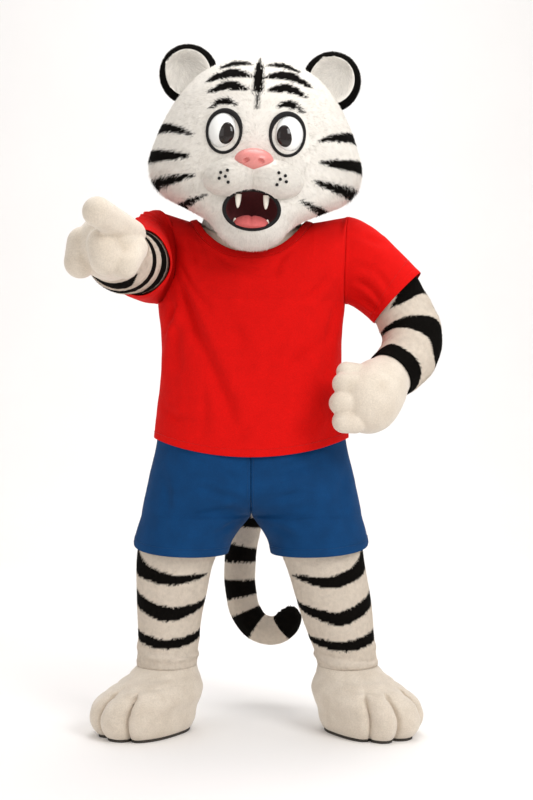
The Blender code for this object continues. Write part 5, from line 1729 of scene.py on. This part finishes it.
@dataclass
class Glove:
    """A padded plush hand: a palm that is hollow from the cuff, and stuffed fingers."""

    side: Side
    palm: Table
    fingers: tuple[Finger, ...]
    wall: float = 0.009
    voxel: float = 0.0032

    def build(self) -> None:
        """Builds the hand as one skin, pulls it in softly between fingers, and hollows it."""
        turn = np.linspace(0, 2 * math.pi, 49)
        grid = tube_grid(self.palm, self.side, np.linspace(0, self.palm.last, 40), turn)
        parts = [Sheet(place(grid), closed=True, start_cap=True, end_cap=True).build("palm", None)]
        for finger in self.fingers:
            parts.append(self.finger(finger))
        item = joined(f"hand_{self.side.word}_plush", parts)
        for kind, settings in (("REMESH", {"mode": "VOXEL", "voxel_size": self.voxel}),
                               ("SMOOTH", {"factor": 0.5, "iterations": 3})):
            modifier = item.modifiers.new(kind.lower(), kind)
            for key, value in settings.items():
                setattr(modifier, key, value)
        settle(item)
        cut_with(item, self.hollow())
        item.data.materials.clear()
        item.data.materials.append(WARDROBE["cream_plush"])
        dress(item, "plush_cream", f"hand_{self.side.word}")

    def finger(self, finger: Finger) -> bpy.types.Object:
        """One finger's closed form, a little fuller at its tip."""
        start, end = np.array(finger.start), np.array(finger.end)
        axis = Vector(end - start)
        turn = axis.to_track_quat("Z", "Y").to_matrix()
        angle = np.linspace(-math.pi / 2 + 0.05, math.pi / 2 - 0.05, 30)
        around = np.linspace(0, 2 * math.pi, 37)
        rows = []
        for a in angle:
            z = finger.radius * math.sin(a) + (axis.length if a > 0 else 0)
            r = finger.radius * math.cos(a) * (1.0 if a > 0 else 0.96)
            rows.append(np.stack([r * np.cos(around), r * np.sin(around), np.full(37, z)], 1))
        grid = np.array(rows) @ np.array(turn).T + start
        return Sheet(place(grid), closed=True, start_cap=True, end_cap=True).build("finger", None)

    def hollow(self) -> bpy.types.Object:
        """A cutter for the room that the wearer's hand goes into."""
        rows = [(*row[:4], max(row[4] - self.wall, 0.004)) for row in self.palm.rows
                if row[0] <= self.palm.last - 2]
        inside = Table("step x y z radius", rows)
        turn = np.linspace(0, 2 * math.pi, 41)
        grid = tube_grid(inside, self.side, np.linspace(0, inside.last, 16), turn)
        outside = 0.6 * (self.palm.rows[0, 1:4] - self.palm.rows[1, 1:4])
        grid = np.concatenate([[grid[0] + outside], grid])
        return Sheet(place(grid), closed=True, start_cap=True, end_cap=True).build("room", None)


BOOTS = (
    Boot(Side.RIGHT, (-0.276, 0.004), -34.0, (-16.0, 22.0)),
    Boot(Side.LEFT, (0.307, 0.000), 34.0, (-41.0, -6.0, 33.0)),
)
GLOVES = (
    Glove(Side.RIGHT, Table("step x y z radius", [
        (0, -0.3296, -0.486, 1.2805, 0.0676),
        (1, -0.3300, -0.516, 1.2835, 0.0676),
        (2, -0.3280, -0.545, 1.284, 0.0760),
        (3, -0.3225, -0.600, 1.2785, 0.0800),
        (4, -0.3220, -0.650, 1.274, 0.0750),
        (5, -0.3220, -0.685, 1.270, 0.0610),
        (6, -0.3220, -0.705, 1.268, 0.0390),
        (7, -0.3220, -0.712, 1.268, 0.0150),
    ]), (
        Finger((-0.270, -0.620, 1.306), (-0.328, -0.790, 1.332), 0.0335),
        Finger((-0.380, -0.655, 1.280), (-0.385, -0.655, 1.236), 0.0375),
        Finger((-0.328, -0.700, 1.272), (-0.319, -0.705, 1.238), 0.0385),
        Finger((-0.262, -0.640, 1.270), (-0.279, -0.700, 1.225), 0.0320),
    )),
    Glove(Side.LEFT, Table("step x y z radius", [
        (0, 0.3880, -0.1225, 0.9972, 0.0652),
        (1, 0.3700, -0.1415, 0.9818, 0.0652),
        (2, 0.345, -0.170, 0.958, 0.0790),
        (3, 0.312, -0.202, 0.922, 0.0880),
        (4, 0.288, -0.218, 0.898, 0.0820),
        (5, 0.270, -0.230, 0.880, 0.0640),
        (6, 0.258, -0.238, 0.868, 0.0360),
        (7, 0.254, -0.241, 0.864, 0.0130),
    ]), (
        Finger((0.246, -0.246, 0.962), (0.276, -0.236, 0.962), 0.0330),
        Finger((0.238, -0.256, 0.912), (0.268, -0.246, 0.914), 0.0340),
        Finger((0.244, -0.256, 0.864), (0.272, -0.244, 0.864), 0.0320),
        Finger((0.292, -0.200, 0.990), (0.252, -0.224, 0.994), 0.0270),
    )),
)


# The head

HEAD_PLACE, HEAD_TURN = (0.014, -0.060, 1.604), (4.0, 3.0, 0.0)
MOUTH_MIDDLE, MOUTH_HALF = (0.0, -0.262, -0.178), (0.072, 0.060, 0.052)
PAD_MIDDLE, PAD_RADII = (0.052, -0.245, -0.098), (0.078, 0.062, 0.050)
EYE_MIDDLE, EYE_RADII = (0.082, -0.205, 0.020), (0.043, 0.040, 0.053)
EAR_X, EAR_Z = 0.196, 0.200


def turned_by(degrees: Sequence[float]) -> Array:
    """The rotation matrix of three angles in degrees."""
    return np.array(Euler([math.radians(a) for a in degrees]).to_matrix())


def on_head(points: Array) -> Array:
    """Points of the head's own frame, brought to the costume's."""
    return place(np.asarray(points) @ turned_by(HEAD_TURN).T + np.array(HEAD_PLACE))


def egg(middle: Sequence[float], radii: Sequence[float], turn: Sequence[float] = (0, 0, 0),
        rows: int = 33, columns: int = 48) -> Sheet:
    """An egg-round form of three radii, turned and placed in the head's own frame."""
    up = np.linspace(-math.pi / 2 + 0.03, math.pi / 2 - 0.03, rows)[:, None]
    around = np.linspace(0, 2 * math.pi, columns + 1)[None]
    ball = np.stack([np.cos(up) * np.sin(around), -np.cos(up) * np.cos(around),
                     np.sin(up) * np.ones(around.shape)], -1)
    points = (ball * np.array(radii)) @ turned_by(turn).T + np.array(middle)
    points[:, -1] = points[:, 0]
    return Sheet(points, closed=True, start_cap=True, end_cap=True)


def within(points: Array, middle: Sequence[float], radii: Sequence[float], grow: float = 0.0) -> Array:
    """Whether points of the head's own frame are inside an upright egg."""
    return (((points - np.array(middle)) / (np.array(radii) + grow)) ** 2).sum(-1) < 1


@dataclass(frozen=True)
class Wedge:
    """A tapered dark stripe on both sides of the head: from its inner to its outer end."""

    inner: tuple[float, float]
    outer: tuple[float, float]
    thick: float
    bow: float = 0.0
    both_ends: bool = True

    def covers(self, x: Array, z: Array) -> Array:
        """Where places across and up the head are inside the stripe."""
        t = np.clip((np.abs(x) - self.inner[0]) / (self.outer[0] - self.inner[0]), 0, 1)
        line = self.inner[1] + (self.outer[1] - self.inner[1]) * t + self.bow * np.sin(math.pi * t)
        taper = np.sin(math.pi * t) ** 0.6 if self.both_ends else t**0.55
        return np.abs(z - line) < self.thick / 2 * taper


FACE_WEDGES = (
    Wedge((0.020, 0.128), (0.128, 0.126), 0.025, 0.016),
    Wedge((0.016, 0.168), (0.140, 0.156), 0.027, 0.016),
    Wedge((0.018, 0.205), (0.108, 0.196), 0.020, 0.010),
    Wedge((0.050, 0.090), (0.122, 0.082), 0.020, 0.014),
    Wedge((0.160, 0.012), (0.300, 0.052), 0.038, 0.004, False),
    Wedge((0.166, -0.042), (0.305, -0.030), 0.040, -0.002, False),
    Wedge((0.150, -0.092), (0.300, -0.106), 0.036, -0.004, False),
    Wedge((0.118, -0.142), (0.245, -0.176), 0.030, -0.006, False),
)
BACK_BARS = (0.150, 0.085, 0.020, -0.045, -0.110)


def head_colour(turn: Array, height: Array) -> Array:
    """Colours of the head's fur at angles from straight ahead and heights in its own frame, with painted
    shade towards the chin.
    """
    turn, height = np.broadcast_arrays(turn, height)
    ragged = 0.0011 * (np.sin(190 * turn + 90 * height) + np.sin(83 * turn + 310 * height))
    z = height + ragged
    x = HEAD.at("half_width", height) * np.sin(turn)
    front = np.cos(turn) > -0.25
    dark = front & (np.abs(x) < 0.0135 * np.sin(math.pi * rise(z, 0.085, 0.235)) ** 0.5)
    for wedge in FACE_WEDGES:
        dark |= front & wedge.covers(x, z)
    for bar in BACK_BARS:
        share = np.clip(np.abs(x) / 0.235, 0, 1)
        dark |= ~front & (np.abs(z - bar - 0.10 * np.abs(x)) < 0.013 * (1 - share) ** 0.6)
    # painted shade: the white fur is drawn up to a tenth darker towards the chin, where shade falls under
    # the head
    painted_shade_fur = WHITE_FUR * (1 - 0.10 * rise(-height, 0.12, 0.28))[..., None]
    return np.where(dark[..., None], BLACK_FUR, painted_shade_fur)


@dataclass
class Head:
    """The head: a foam shell in fur, with ears, eyes, muzzle, nose and an open mouth."""

    columns: int = 136
    rows: int = 96
    wall: float = 0.012
    crown: float = 0.250
    chin: float = -0.279

    def form(self, rows: int, columns: int, grow: float = 0.0) -> Sheet:
        """The head's closed outer form in its own frame, grown by a distance."""
        low, high = HEAD.rows[0, 0], HEAD.rows[-1, 0]
        closing = np.linspace(1, 0.04, 9)[1:]
        height = np.concatenate([
            (low - (low - self.chin) * (1 - closing**2))[::-1], np.linspace(low, high, rows),
            high + (self.crown - high) * (1 - closing**2.5),
        ])[:, None]
        scale = np.concatenate([closing[::-1], np.ones(rows), closing])[:, None]
        turn = np.linspace(0, 2 * math.pi, columns + 1)[None]
        front, back = HEAD.at("front", height), HEAD.at("back", height)
        x = (HEAD.at("half_width", height) * scale + grow) * np.sin(turn)
        y = (back - front) / 2 - ((front + back) / 2 * scale + grow) * np.cos(turn)
        height = height + grow * np.sign(height) * (1 - scale)
        points = np.stack([x, y, np.broadcast_to(height, x.shape)], -1)
        points[:, -1] = points[:, 0]
        return Sheet(points, closed=True, start_cap=True, end_cap=True)

    def heights(self) -> Array:
        """The height of each row of the fine form."""
        return self.form(self.rows, 3).points[:, 0, 2]

    def seat(self) -> bpy.types.Object:
        """A cutter that trims a piece where it meets the head."""
        sheet = self.form(40, 64, 0.0005)
        return Sheet(on_head(sheet.points), True, True, True).build("seat", None)

    def solid(self, sheet: Sheet, name: str, finish: str | None,
              colours: Array | None = None) -> bpy.types.Object:
        """A closed piece of the head, brought to the costume's frame."""
        moved = Sheet(on_head(sheet.points), True, True, True)
        return moved.build(name, WARDROBE[finish] if finish else None, colours)

    def build(self) -> None:
        """Builds and dresses the head's pieces."""
        self.build_shell()
        self.build_muzzle()
        self.build_mouth()
        for side in Side:
            self.build_ear(side)
            self.build_eye(side)

    def build_shell(self) -> None:
        """The shell, open at the neck and the mouth, and its fur."""
        form = self.form(self.rows, self.columns)
        turn = np.linspace(0, 2 * math.pi, self.columns + 1)[None]
        height = self.heights()
        colours = head_colour(turn, height[:, None])
        fine = Sheet(on_head(form.points), True, True, True)
        item = fine.build("head_fur", WARDROBE["acrylic_head_pile"], colours)
        thicken(item, self.wall)
        mouth = self.solid(egg(MOUTH_MIDDLE, [r + SEAM_GAP for r in MOUTH_HALF]), "mouth_room", None)
        cut_with(item, self.neck_hole(), mouth)
        rows = len(height)

        def at(row: Array, column: Array) -> tuple[Array, Array]:
            return column * 2 * math.pi, np.interp(row * (rows - 1), np.arange(rows), height)

        def shade(row: Array, column: Array) -> Array:
            return head_colour(*at(row, column))

        def free(row: Array, column: Array) -> Array:
            i = np.clip((row * (rows - 1)).astype(int), 0, rows - 1)
            j = np.clip((column * self.columns).astype(int), 0, self.columns)
            here = form.points[i, j]
            mirrored = here * np.array([-1, 1, 1])
            inside = within(here, MOUTH_MIDDLE, MOUTH_HALF, 0.004)
            for middle, radii, grow in ((PAD_MIDDLE, PAD_RADII, -0.004), (EYE_MIDDLE, EYE_RADII, 0.006),
                                        ((EAR_X, -0.01, EAR_Z), (0.070, 0.040, 0.074), 0.0)):
                inside |= within(here, middle, radii, grow) | within(mirrored, middle, radii, grow)
            below = (here[..., 2] < -0.13) & (here[..., 1] > -0.16) & (np.abs(here[..., 0]) < 0.11)
            return 1.0 * ~(inside | below)

        def longer(row: Array, column: Array) -> Array:
            turns, z = at(row, column)
            beside = np.exp(-(((np.abs(np.sin(turns)) - 1) / 0.22) ** 2))
            cheek = np.exp(-(((z + 0.105) / 0.055) ** 2)) * beside
            chin = rise(-z, 0.22, 0.28)
            return 1 + 1.5 * cheek + 0.5 * chin

        def brush(roots: Array, out: Array, down: Array) -> Array:
            away = roots - on_head(np.array([0, -0.25, -0.02]))
            return unit(away) + np.array([0, 0.25, -0.75])

        pile = PileField("head_pile", fine, 60000, 0.0100, 0.0017, 0.30, 51, brush, shade,
                         weight=free, longer=longer).build(WARDROBE["acrylic_head_pile"])
        dress(pile, "fur_white")
        dress(item, "fur_white", "head_shell")

    def neck_hole(self) -> bpy.types.Object:
        """A cutter for the neck's hole, a little wider than the suit's neck."""
        turn = np.linspace(0, 2 * math.pi, 65)
        rows = []
        for height, wide, deep, y in ((1.32, 0.165, 0.150, -0.020), (1.405, 0.150, 0.134, -0.022),
                                      (1.50, 0.1136, 0.1136, -0.028), (1.53, 0.1136, 0.1136, -0.028)):
            rows.append(np.stack([wide * np.sin(turn), y - deep * np.cos(turn),
                                  np.full(65, height)], 1))
        grid = np.array(rows)
        grid[:, -1] = grid[:, 0]
        return Sheet(place(grid), True, True, True).build("neck_hole", None)

    def pad(self, side: Side, grow: float = 0.0) -> Sheet:
        """One side's muzzle pad in the head's own frame."""
        middle = (side.value * PAD_MIDDLE[0], *PAD_MIDDLE[1:])
        return egg(middle, [r + grow for r in PAD_RADII], (0, side.value * 8, side.value * 12))

    def build_muzzle(self) -> None:
        """Two fur pads in one, with whisker dots, and the nose on them."""
        pads = [self.solid(self.pad(side), "pad", None) for side in Side]
        item = cut_with(pads[0], pads[1], how="UNION")
        mouth = self.solid(egg(MOUTH_MIDDLE, [r + SEAM_GAP for r in MOUTH_HALF]), "mouth_room", None)
        cut_with(item, self.seat(), mouth)
        item.name = item.data.name = "muzzle_fur"
        item.data.materials.clear()
        item.data.materials.append(WARDROBE["acrylic_head_pile"])
        paint(item.data, np.tile(WHITE_FUR, (len(item.data.vertices), 1)))
        piles = []
        for side in Side:
            sheet = self.pad(side)
            other = (-side.value * PAD_MIDDLE[0], *PAD_MIDDLE[1:])

            def free(row: Array, column: Array, sheet: Sheet = sheet, other: Corner = other) -> Array:
                i = (row * (sheet.points.shape[0] - 1)).astype(int)
                j = (column * (sheet.points.shape[1] - 1)).astype(int)
                here = sheet.points[i, j]
                shut = within(here, other, PAD_RADII, -0.003)
                shut |= within(here, MOUTH_MIDDLE, MOUTH_HALF, 0.002)
                shut |= within(here, (0, -0.272, -0.054), (0.050, 0.038, 0.030), 0.004)
                return 1.0 * (~shut & (here[..., 1] < -0.205))

            piles.append(PileField(
                "muzzle_pile", Sheet(on_head(sheet.points), True), 11000, 0.0085, 0.0014, 0.25,
                60 + side.value,
                lambda roots, out, down: roots - on_head(np.array([0, -0.30, -0.06])),
                lambda row, column: np.broadcast_to(WHITE_FUR, (len(row), 3)), weight=free,
            ).build(WARDROBE["acrylic_head_pile"]))
        pile = joined("muzzle_pile", piles)
        dress(pile, "fur_white")
        dress(item, "fur_white", "muzzle")
        dots = []
        for side in Side:
            for across, up in ((0.070, -0.082), (0.096, -0.090), (0.076, -0.104), (0.102, -0.112),
                               (0.066, -0.124)):
                dots.append(self.solid(self.dot(side, across, up), "dot", "black_felt"))
        dress(joined("whisker_dots", dots), "fur_black")
        nose = self.solid(egg((0, -0.272, -0.054), (0.050, 0.038, 0.030)), "nose_vinyl", "pink_vinyl_nose")
        holes = [self.solid(egg((side.value * 0.021, -0.310, -0.060), (0.011, 0.012, 0.0065),
                                (0, side.value * 25, 0), 17, 24), "nostril", None) for side in Side]
        grown = [self.solid(self.pad(side, SEAM_GAP), "pad", None) for side in Side]
        cut_with(nose, *holes, *grown, self.seat())
        dress(nose, "nose_vinyl", "nose")

    def dot(self, side: Side, across: float, up: float) -> Sheet:
        """One whisker dot, sunk into the muzzle's fur."""
        middle, turn = (side.value * PAD_MIDDLE[0], *PAD_MIDDLE[1:]), turned_by(
            (0, side.value * 8, side.value * 12))
        aim = np.array([side.value * across, -0.330, up])
        local = (aim - np.array(middle)) @ turn
        on_pad = local / np.linalg.norm(local / np.array(PAD_RADII))
        return egg(np.array(middle) + turn @ (on_pad * 1.045), (0.0042, 0.0030, 0.0042), rows=9,
                   columns=12)

    def build_mouth(self) -> None:
        """The mouth's lining, dark lips, tongue and teeth."""
        lining = self.solid(egg(MOUTH_MIDDLE, MOUTH_HALF), "mouth_lining_felt", "dark_red_felt")
        room = self.solid(egg(MOUTH_MIDDLE, [h - 0.0025 for h in MOUTH_HALF]), "room", None)
        cut_with(lining, room)
        inside = self.form(40, 64, -0.001)
        cut_with(lining, Sheet(on_head(inside.points), True, True, True).build("inside", None),
                 how="INTERSECT")
        dress(lining, "mouth_dark", "mouth_lining")
        self.build_lips()
        room_half = [h - 0.0028 for h in MOUTH_HALF]
        tongue = egg((0, -0.240, -0.212), (0.046, 0.050, 0.020), (12, 0, 0))
        x = tongue.points[..., 0]
        tongue = tongue.raised(-0.0035 * np.exp(-((x / 0.005) ** 2)))
        item = self.solid(tongue, "tongue_velour", "pink_velour_tongue")
        cut_with(item, self.solid(egg(MOUTH_MIDDLE, room_half), "room", None), how="INTERSECT")
        dress(item, "tongue_pink", "tongue")
        for side in Side:
            item = self.solid(self.tooth((side.value * 0.036, -0.250, -0.140), 0.0085, -0.036),
                              f"fang_{side.word}_resin", "ivory_resin_tooth")
            dress(item, "tooth_white", f"fang_{side.word}")
        teeth = [self.solid(self.tooth((x, -0.262 + 0.9 * x * x * 12, -0.222 + 3.2 * x * x), 0.0062, 0.016),
                            "tooth", "ivory_resin_tooth")
                 for x in (-0.042, -0.030, -0.018, -0.006, 0.006, 0.018, 0.030, 0.042)]
        dress(joined("lower_teeth_resin", teeth), "tooth_white")

    def tooth(self, root: Corner, radius: float, length: float) -> Sheet:
        """A tapered tooth from its root, downward where its length is negative."""
        share = np.linspace(0, 1, 16)[:, None]
        around = np.linspace(0, 2 * math.pi, 21)[None]
        thick = radius * np.sqrt(np.maximum(1 - share**1.6, 0.004))
        lean = -0.004 * share**2
        points = np.stack([root[0] + thick * np.sin(around), root[1] + lean - thick * np.cos(around),
                           root[2] + length * share * np.ones(around.shape)], -1)
        points[:, -1] = points[:, 0]
        return Sheet(points, True, True, True)

    def build_lips(self) -> None:
        """A dark rolled lip round the mouth's edge, where the mouth meets the head's form."""
        around = np.linspace(0, 2 * math.pi, 97)
        middle = np.stack([MOUTH_HALF[0] * np.sin(around), np.zeros(97),
                           MOUTH_HALF[2] * np.cos(around)], 1) + np.array(MOUTH_MIDDLE)
        half = HEAD.at("half_width", middle[:, 2])
        front, back = HEAD.at("front", middle[:, 2]), HEAD.at("back", middle[:, 2])
        share = np.sqrt(np.maximum(1 - (middle[:, 0] / half) ** 2, 0.05))
        middle[:, 1] = (back - front) / 2 - (front + back) / 2 * share
        centre = np.array(MOUTH_MIDDLE)
        away = unit((middle - centre) * np.array([1, 0, 1]))
        turn = np.linspace(0, 2 * math.pi, 17)
        radius = 0.0050
        grid = (middle[None] - away[None] * 0.001
                + radius * np.cos(turn)[:, None, None] * away[None]
                + radius * np.sin(turn)[:, None, None] * np.array([0, -1.0, 0]))
        mesh = Sheet(on_head(grid.transpose(1, 0, 2)), closed=True)
        item = mesh.build("lips_felt", WARDROBE["black_felt"])
        weld(item, 0.0001)
        dress(item, "fur_black")

    def build_ear(self, side: Side) -> None:
        """A round ear: a black fur cup, and a white pad with long fur in it."""
        turn = (-6, 22 * side.value, 0)
        x = side.value * EAR_X
        cup = egg((x, 0.006, EAR_Z), (0.080, 0.034, 0.084), turn)
        item = self.solid(cup, f"ear_{side.word}_fur", "acrylic_short_pile")
        hollow = self.solid(egg((x, -0.028, EAR_Z), (0.062, 0.034, 0.066), turn), "hollow", None)
        cut_with(item, hollow, self.seat())
        if "pile_colour" in item.data.color_attributes:
            item.data.color_attributes.remove(item.data.color_attributes["pile_colour"])
        paint(item.data, np.tile(BLACK_FUR, (len(item.data.vertices), 1)))
        own = turned_by(turn)

        def rim(row: Array, column: Array) -> Array:
            i = (row * (cup.points.shape[0] - 1)).astype(int)
            j = (column * (cup.points.shape[1] - 1)).astype(int)
            here = (cup.points[i, j] - np.array([x, -0.028, EAR_Z])) @ own
            shut = ((here / np.array([0.062, 0.034, 0.066])) ** 2).sum(-1) < 1
            world = cup.points[i, j]
            half = HEAD.at("half_width", world[..., 2])
            deep = (HEAD.at("front", world[..., 2]) + HEAD.at("back", world[..., 2])) / 2
            sunk = (world[..., 0] / half) ** 2 + (world[..., 1] / deep) ** 2 < 1
            return 1.0 * ~(shut | (sunk & (world[..., 2] < 0.24)))

        pile = PileField(
            f"ear_{side.word}_pile", Sheet(on_head(cup.points), True), 9000, 0.008, 0.0014, 0.3,
            70 + side.value,
            lambda roots, out, down: roots - on_head(np.array([x * 0.8, 0.0, EAR_Z - 0.06])),
            lambda row, column: np.broadcast_to(BLACK_FUR, (len(row), 3)), weight=rim,
        ).build(WARDROBE["acrylic_short_pile"])
        dress(pile, "fur_black")
        dress(item, "fur_black", f"ear_{side.word}")
        inner = egg((x, -0.0275, EAR_Z), (0.0614, 0.033, 0.0654), turn)
        pad = self.solid(inner, f"ear_inner_{side.word}_fur", "acrylic_head_pile")
        front = self.solid(egg((x, -0.060, EAR_Z), (0.080, 0.050, 0.084), turn), "front", None)
        cut_with(pad, front, self.seat())
        paint(pad.data, np.tile(WHITE_FUR, (len(pad.data.vertices), 1)))
        bowl = egg((x, -0.060, EAR_Z), (0.080, 0.050, 0.084), turn, 25, 36)

        def bowl_free(row: Array, column: Array) -> Array:
            i = (row * (bowl.points.shape[0] - 1)).astype(int)
            j = (column * (bowl.points.shape[1] - 1)).astype(int)
            here = (bowl.points[i, j] - np.array([x, -0.0275, EAR_Z])) @ own
            return 1.0 * (((here / np.array([0.058, 0.033, 0.062])) ** 2).sum(-1) < 1)

        turned = Sheet(on_head(bowl.points), True)
        fluff = PileField(
            f"ear_inner_{side.word}_pile", turned, 7000, 0.020, 0.0016, -0.45, 80 + side.value,
            lambda roots, out, down: on_head(np.array([x * 1.12, -0.05, EAR_Z + 0.03])) - roots,
            lambda row, column: np.broadcast_to(WHITE_FUR, (len(row), 3)), weight=bowl_free,
        ).build(WARDROBE["acrylic_head_pile"])
        dress(fluff, "fur_white")
        dress(pad, "fur_white", f"ear_inner_{side.word}")

    def build_eye(self, side: Side) -> None:
        """A glossy white with a dark felt rim and a dark brown iris."""
        middle = (side.value * EYE_MIDDLE[0], *EYE_MIDDLE[1:])
        eye = self.solid(egg(middle, EYE_RADII, (0, 0, side.value * 12)),
                         f"eye_{side.word}_acrylic", "white_acrylic_eye")
        cut_with(eye, self.seat())
        dress(eye, "eye_white", f"eye_{side.word}")
        iris = self.solid(egg((side.value * 0.078, -0.236, 0.016), (0.024, 0.012, 0.029),
                              (0, 0, side.value * 10)), f"iris_{side.word}_acrylic",
                          "brown_acrylic_iris")
        grown = [r + SEAM_GAP for r in EYE_RADII]
        cut_with(iris, self.solid(egg(middle, grown, (0, 0, side.value * 12)), "white", None))
        dress(iris, "iris_brown", f"iris_{side.word}")
        self.build_rim(side)

    def build_rim(self, side: Side) -> None:
        """The dark rim round an eye, heavier along the upper lid."""
        around = np.linspace(0, 2 * math.pi, 73)
        up = np.cos(around)
        x = side.value * EYE_MIDDLE[0] + (EYE_RADII[0] + 0.001) * np.sin(around)
        z = EYE_MIDDLE[2] + (EYE_RADII[2] + 0.001) * up
        front, back = HEAD.at("front", z), HEAD.at("back", z)
        share = np.sqrt(1 - (x / HEAD.at("half_width", z)) ** 2)
        line = np.stack([x, (back - front) / 2 - (front + back) / 2 * share, z], 1)
        away = unit((line - np.array([side.value * EYE_MIDDLE[0], 0, EYE_MIDDLE[2]]))
                    * np.array([1, 0, 1]))
        radius = (0.0040 + 0.0034 * rise(up, -0.2, 0.9))[:, None, None]
        turn = np.linspace(0, 2 * math.pi, 15)[None, :, None]
        grid = (line[:, None] + radius * np.cos(turn) * away[:, None]
                + 1.3 * radius * np.sin(turn) * np.array([0, -1.0, 0]))
        item = Sheet(on_head(grid), closed=True).build(f"eye_rim_{side.word}_felt",
                                                       WARDROBE["black_felt"])
        weld(item, 0.0001)
        dress(item, "fur_black")


# The studio


@dataclass(frozen=True)
class Lamp:
    """A soft square light, by its place, what it is aimed at, its width and its watts."""

    name: str
    place: Corner
    aim: Corner
    width: float
    watts: float

    def build(self) -> None:
        """Adds the light to the scene."""
        data = bpy.data.lights.new(self.name, "AREA")
        data.size, data.energy = self.width, self.watts
        light = bpy.data.objects.new(self.name, data)
        light.location = self.place
        aim = Vector(self.aim) - light.location
        light.rotation_euler = aim.to_track_quat("-Z", "Y").to_euler()
        bpy.context.scene.collection.objects.link(light)


COSTUME, BACKDROP = (0.0, 0.0, -0.35), (0.0, 6.0, 0.6)
LAMPS = (
    Lamp("key", (2.4, -3.0, 1.7), COSTUME, 1.8, 84),
    Lamp("fill", (-2.6, -2.8, 0.6), COSTUME, 2.4, 14),
    Lamp("top", (0.3, -0.2, 2.6), COSTUME, 2.0, 42),
    Lamp("floor", (0.0, 1.6, 3.4), COSTUME, 3.0, 46),
    Lamp("paper", (0.0, 2.8, 2.8), BACKDROP, 3.5, 48),
)


@dataclass
class Studio:
    """A pale sweep under soft light, and the camera that looks at the costume level."""

    camera_height: float = 0.92
    camera_distance: float = 3.6
    camera_x: float = 0.042
    lens: float = 57.8
    air: float = 0.66
    floor_half: float = 9.0
    floor_start: float = -6.0
    sweep_start: float = 3.6
    sweep_radius: float = 2.4
    sweep_top: float = 9.0

    def build(self) -> None:
        """Makes the floor, the light and the camera."""
        scene = bpy.context.scene
        scene.view_settings.view_transform = "Standard"
        camera = bpy.data.objects.new("camera", bpy.data.cameras.new("camera"))
        camera.data.lens, camera.data.sensor_width = self.lens, 36
        camera.data.clip_end = 60
        camera.location = (self.camera_x, -self.camera_distance, self.camera_height - ORIGIN_HEIGHT)
        camera.rotation_euler = (math.pi / 2, 0, 0)
        scene.collection.objects.link(camera)
        scene.camera = camera
        self.build_floor()
        world = bpy.data.worlds.new("studio_air")
        world.use_nodes = True
        world.node_tree.nodes["Background"].inputs["Color"].default_value = (1.0, 0.985, 0.97, 1)
        world.node_tree.nodes["Background"].inputs["Strength"].default_value = self.air
        scene.world = world
        for lamp in LAMPS:
            lamp.build()

    def build_floor(self) -> None:
        """A pale paper floor, level with the soles, that sweeps up far behind the costume."""
        turn = np.linspace(0, math.pi / 2, 25)
        bend, end = self.sweep_radius, self.sweep_start + self.sweep_radius
        depth = np.concatenate([[self.floor_start], self.sweep_start + bend * np.sin(turn), [end]])
        height = np.concatenate([[0.0], bend * (1 - np.cos(turn)), [self.sweep_top]])
        height = height - ORIGIN_HEIGHT - UNDER_SOLES
        points = [(x, y, z) for y, z in zip(depth, height) for x in (-self.floor_half, self.floor_half)]
        faces = [(2 * i, 2 * i + 1, 2 * i + 3, 2 * i + 2) for i in range(len(depth) - 1)]
        mesh = bpy.data.meshes.new("floor")
        mesh.from_pydata(points, [], faces)
        mesh.shade_smooth()
        material, tree, shader = shader_of("white_seamless_paper", Roughness=0.9,
                                           Specular_IOR_Level=0.1)
        here = node(tree, "TexCoord").outputs["Object"]
        tree.links.new(tint(tree, (0.95, 0.935, 0.925, 1), here, 0.5, 0.985),
                       shader.inputs["Base Color"])
        link("floor", mesh, material)


def main() -> None:
    """Builds the costume from the studio up and from the inside out."""
    logging.basicConfig(level=logging.INFO, format="%(name)s: %(message)s", force=True)
    Studio().build()
    tail = Tail()
    tail.build()
    BodySuit().build()
    Shorts().build(tail.hole)
    TShirt().build()
    for boot in BOOTS:
        boot.build()
    for glove in GLOVES:
        glove.build()
    Head().build()


if __name__ == "__main__":
    main()
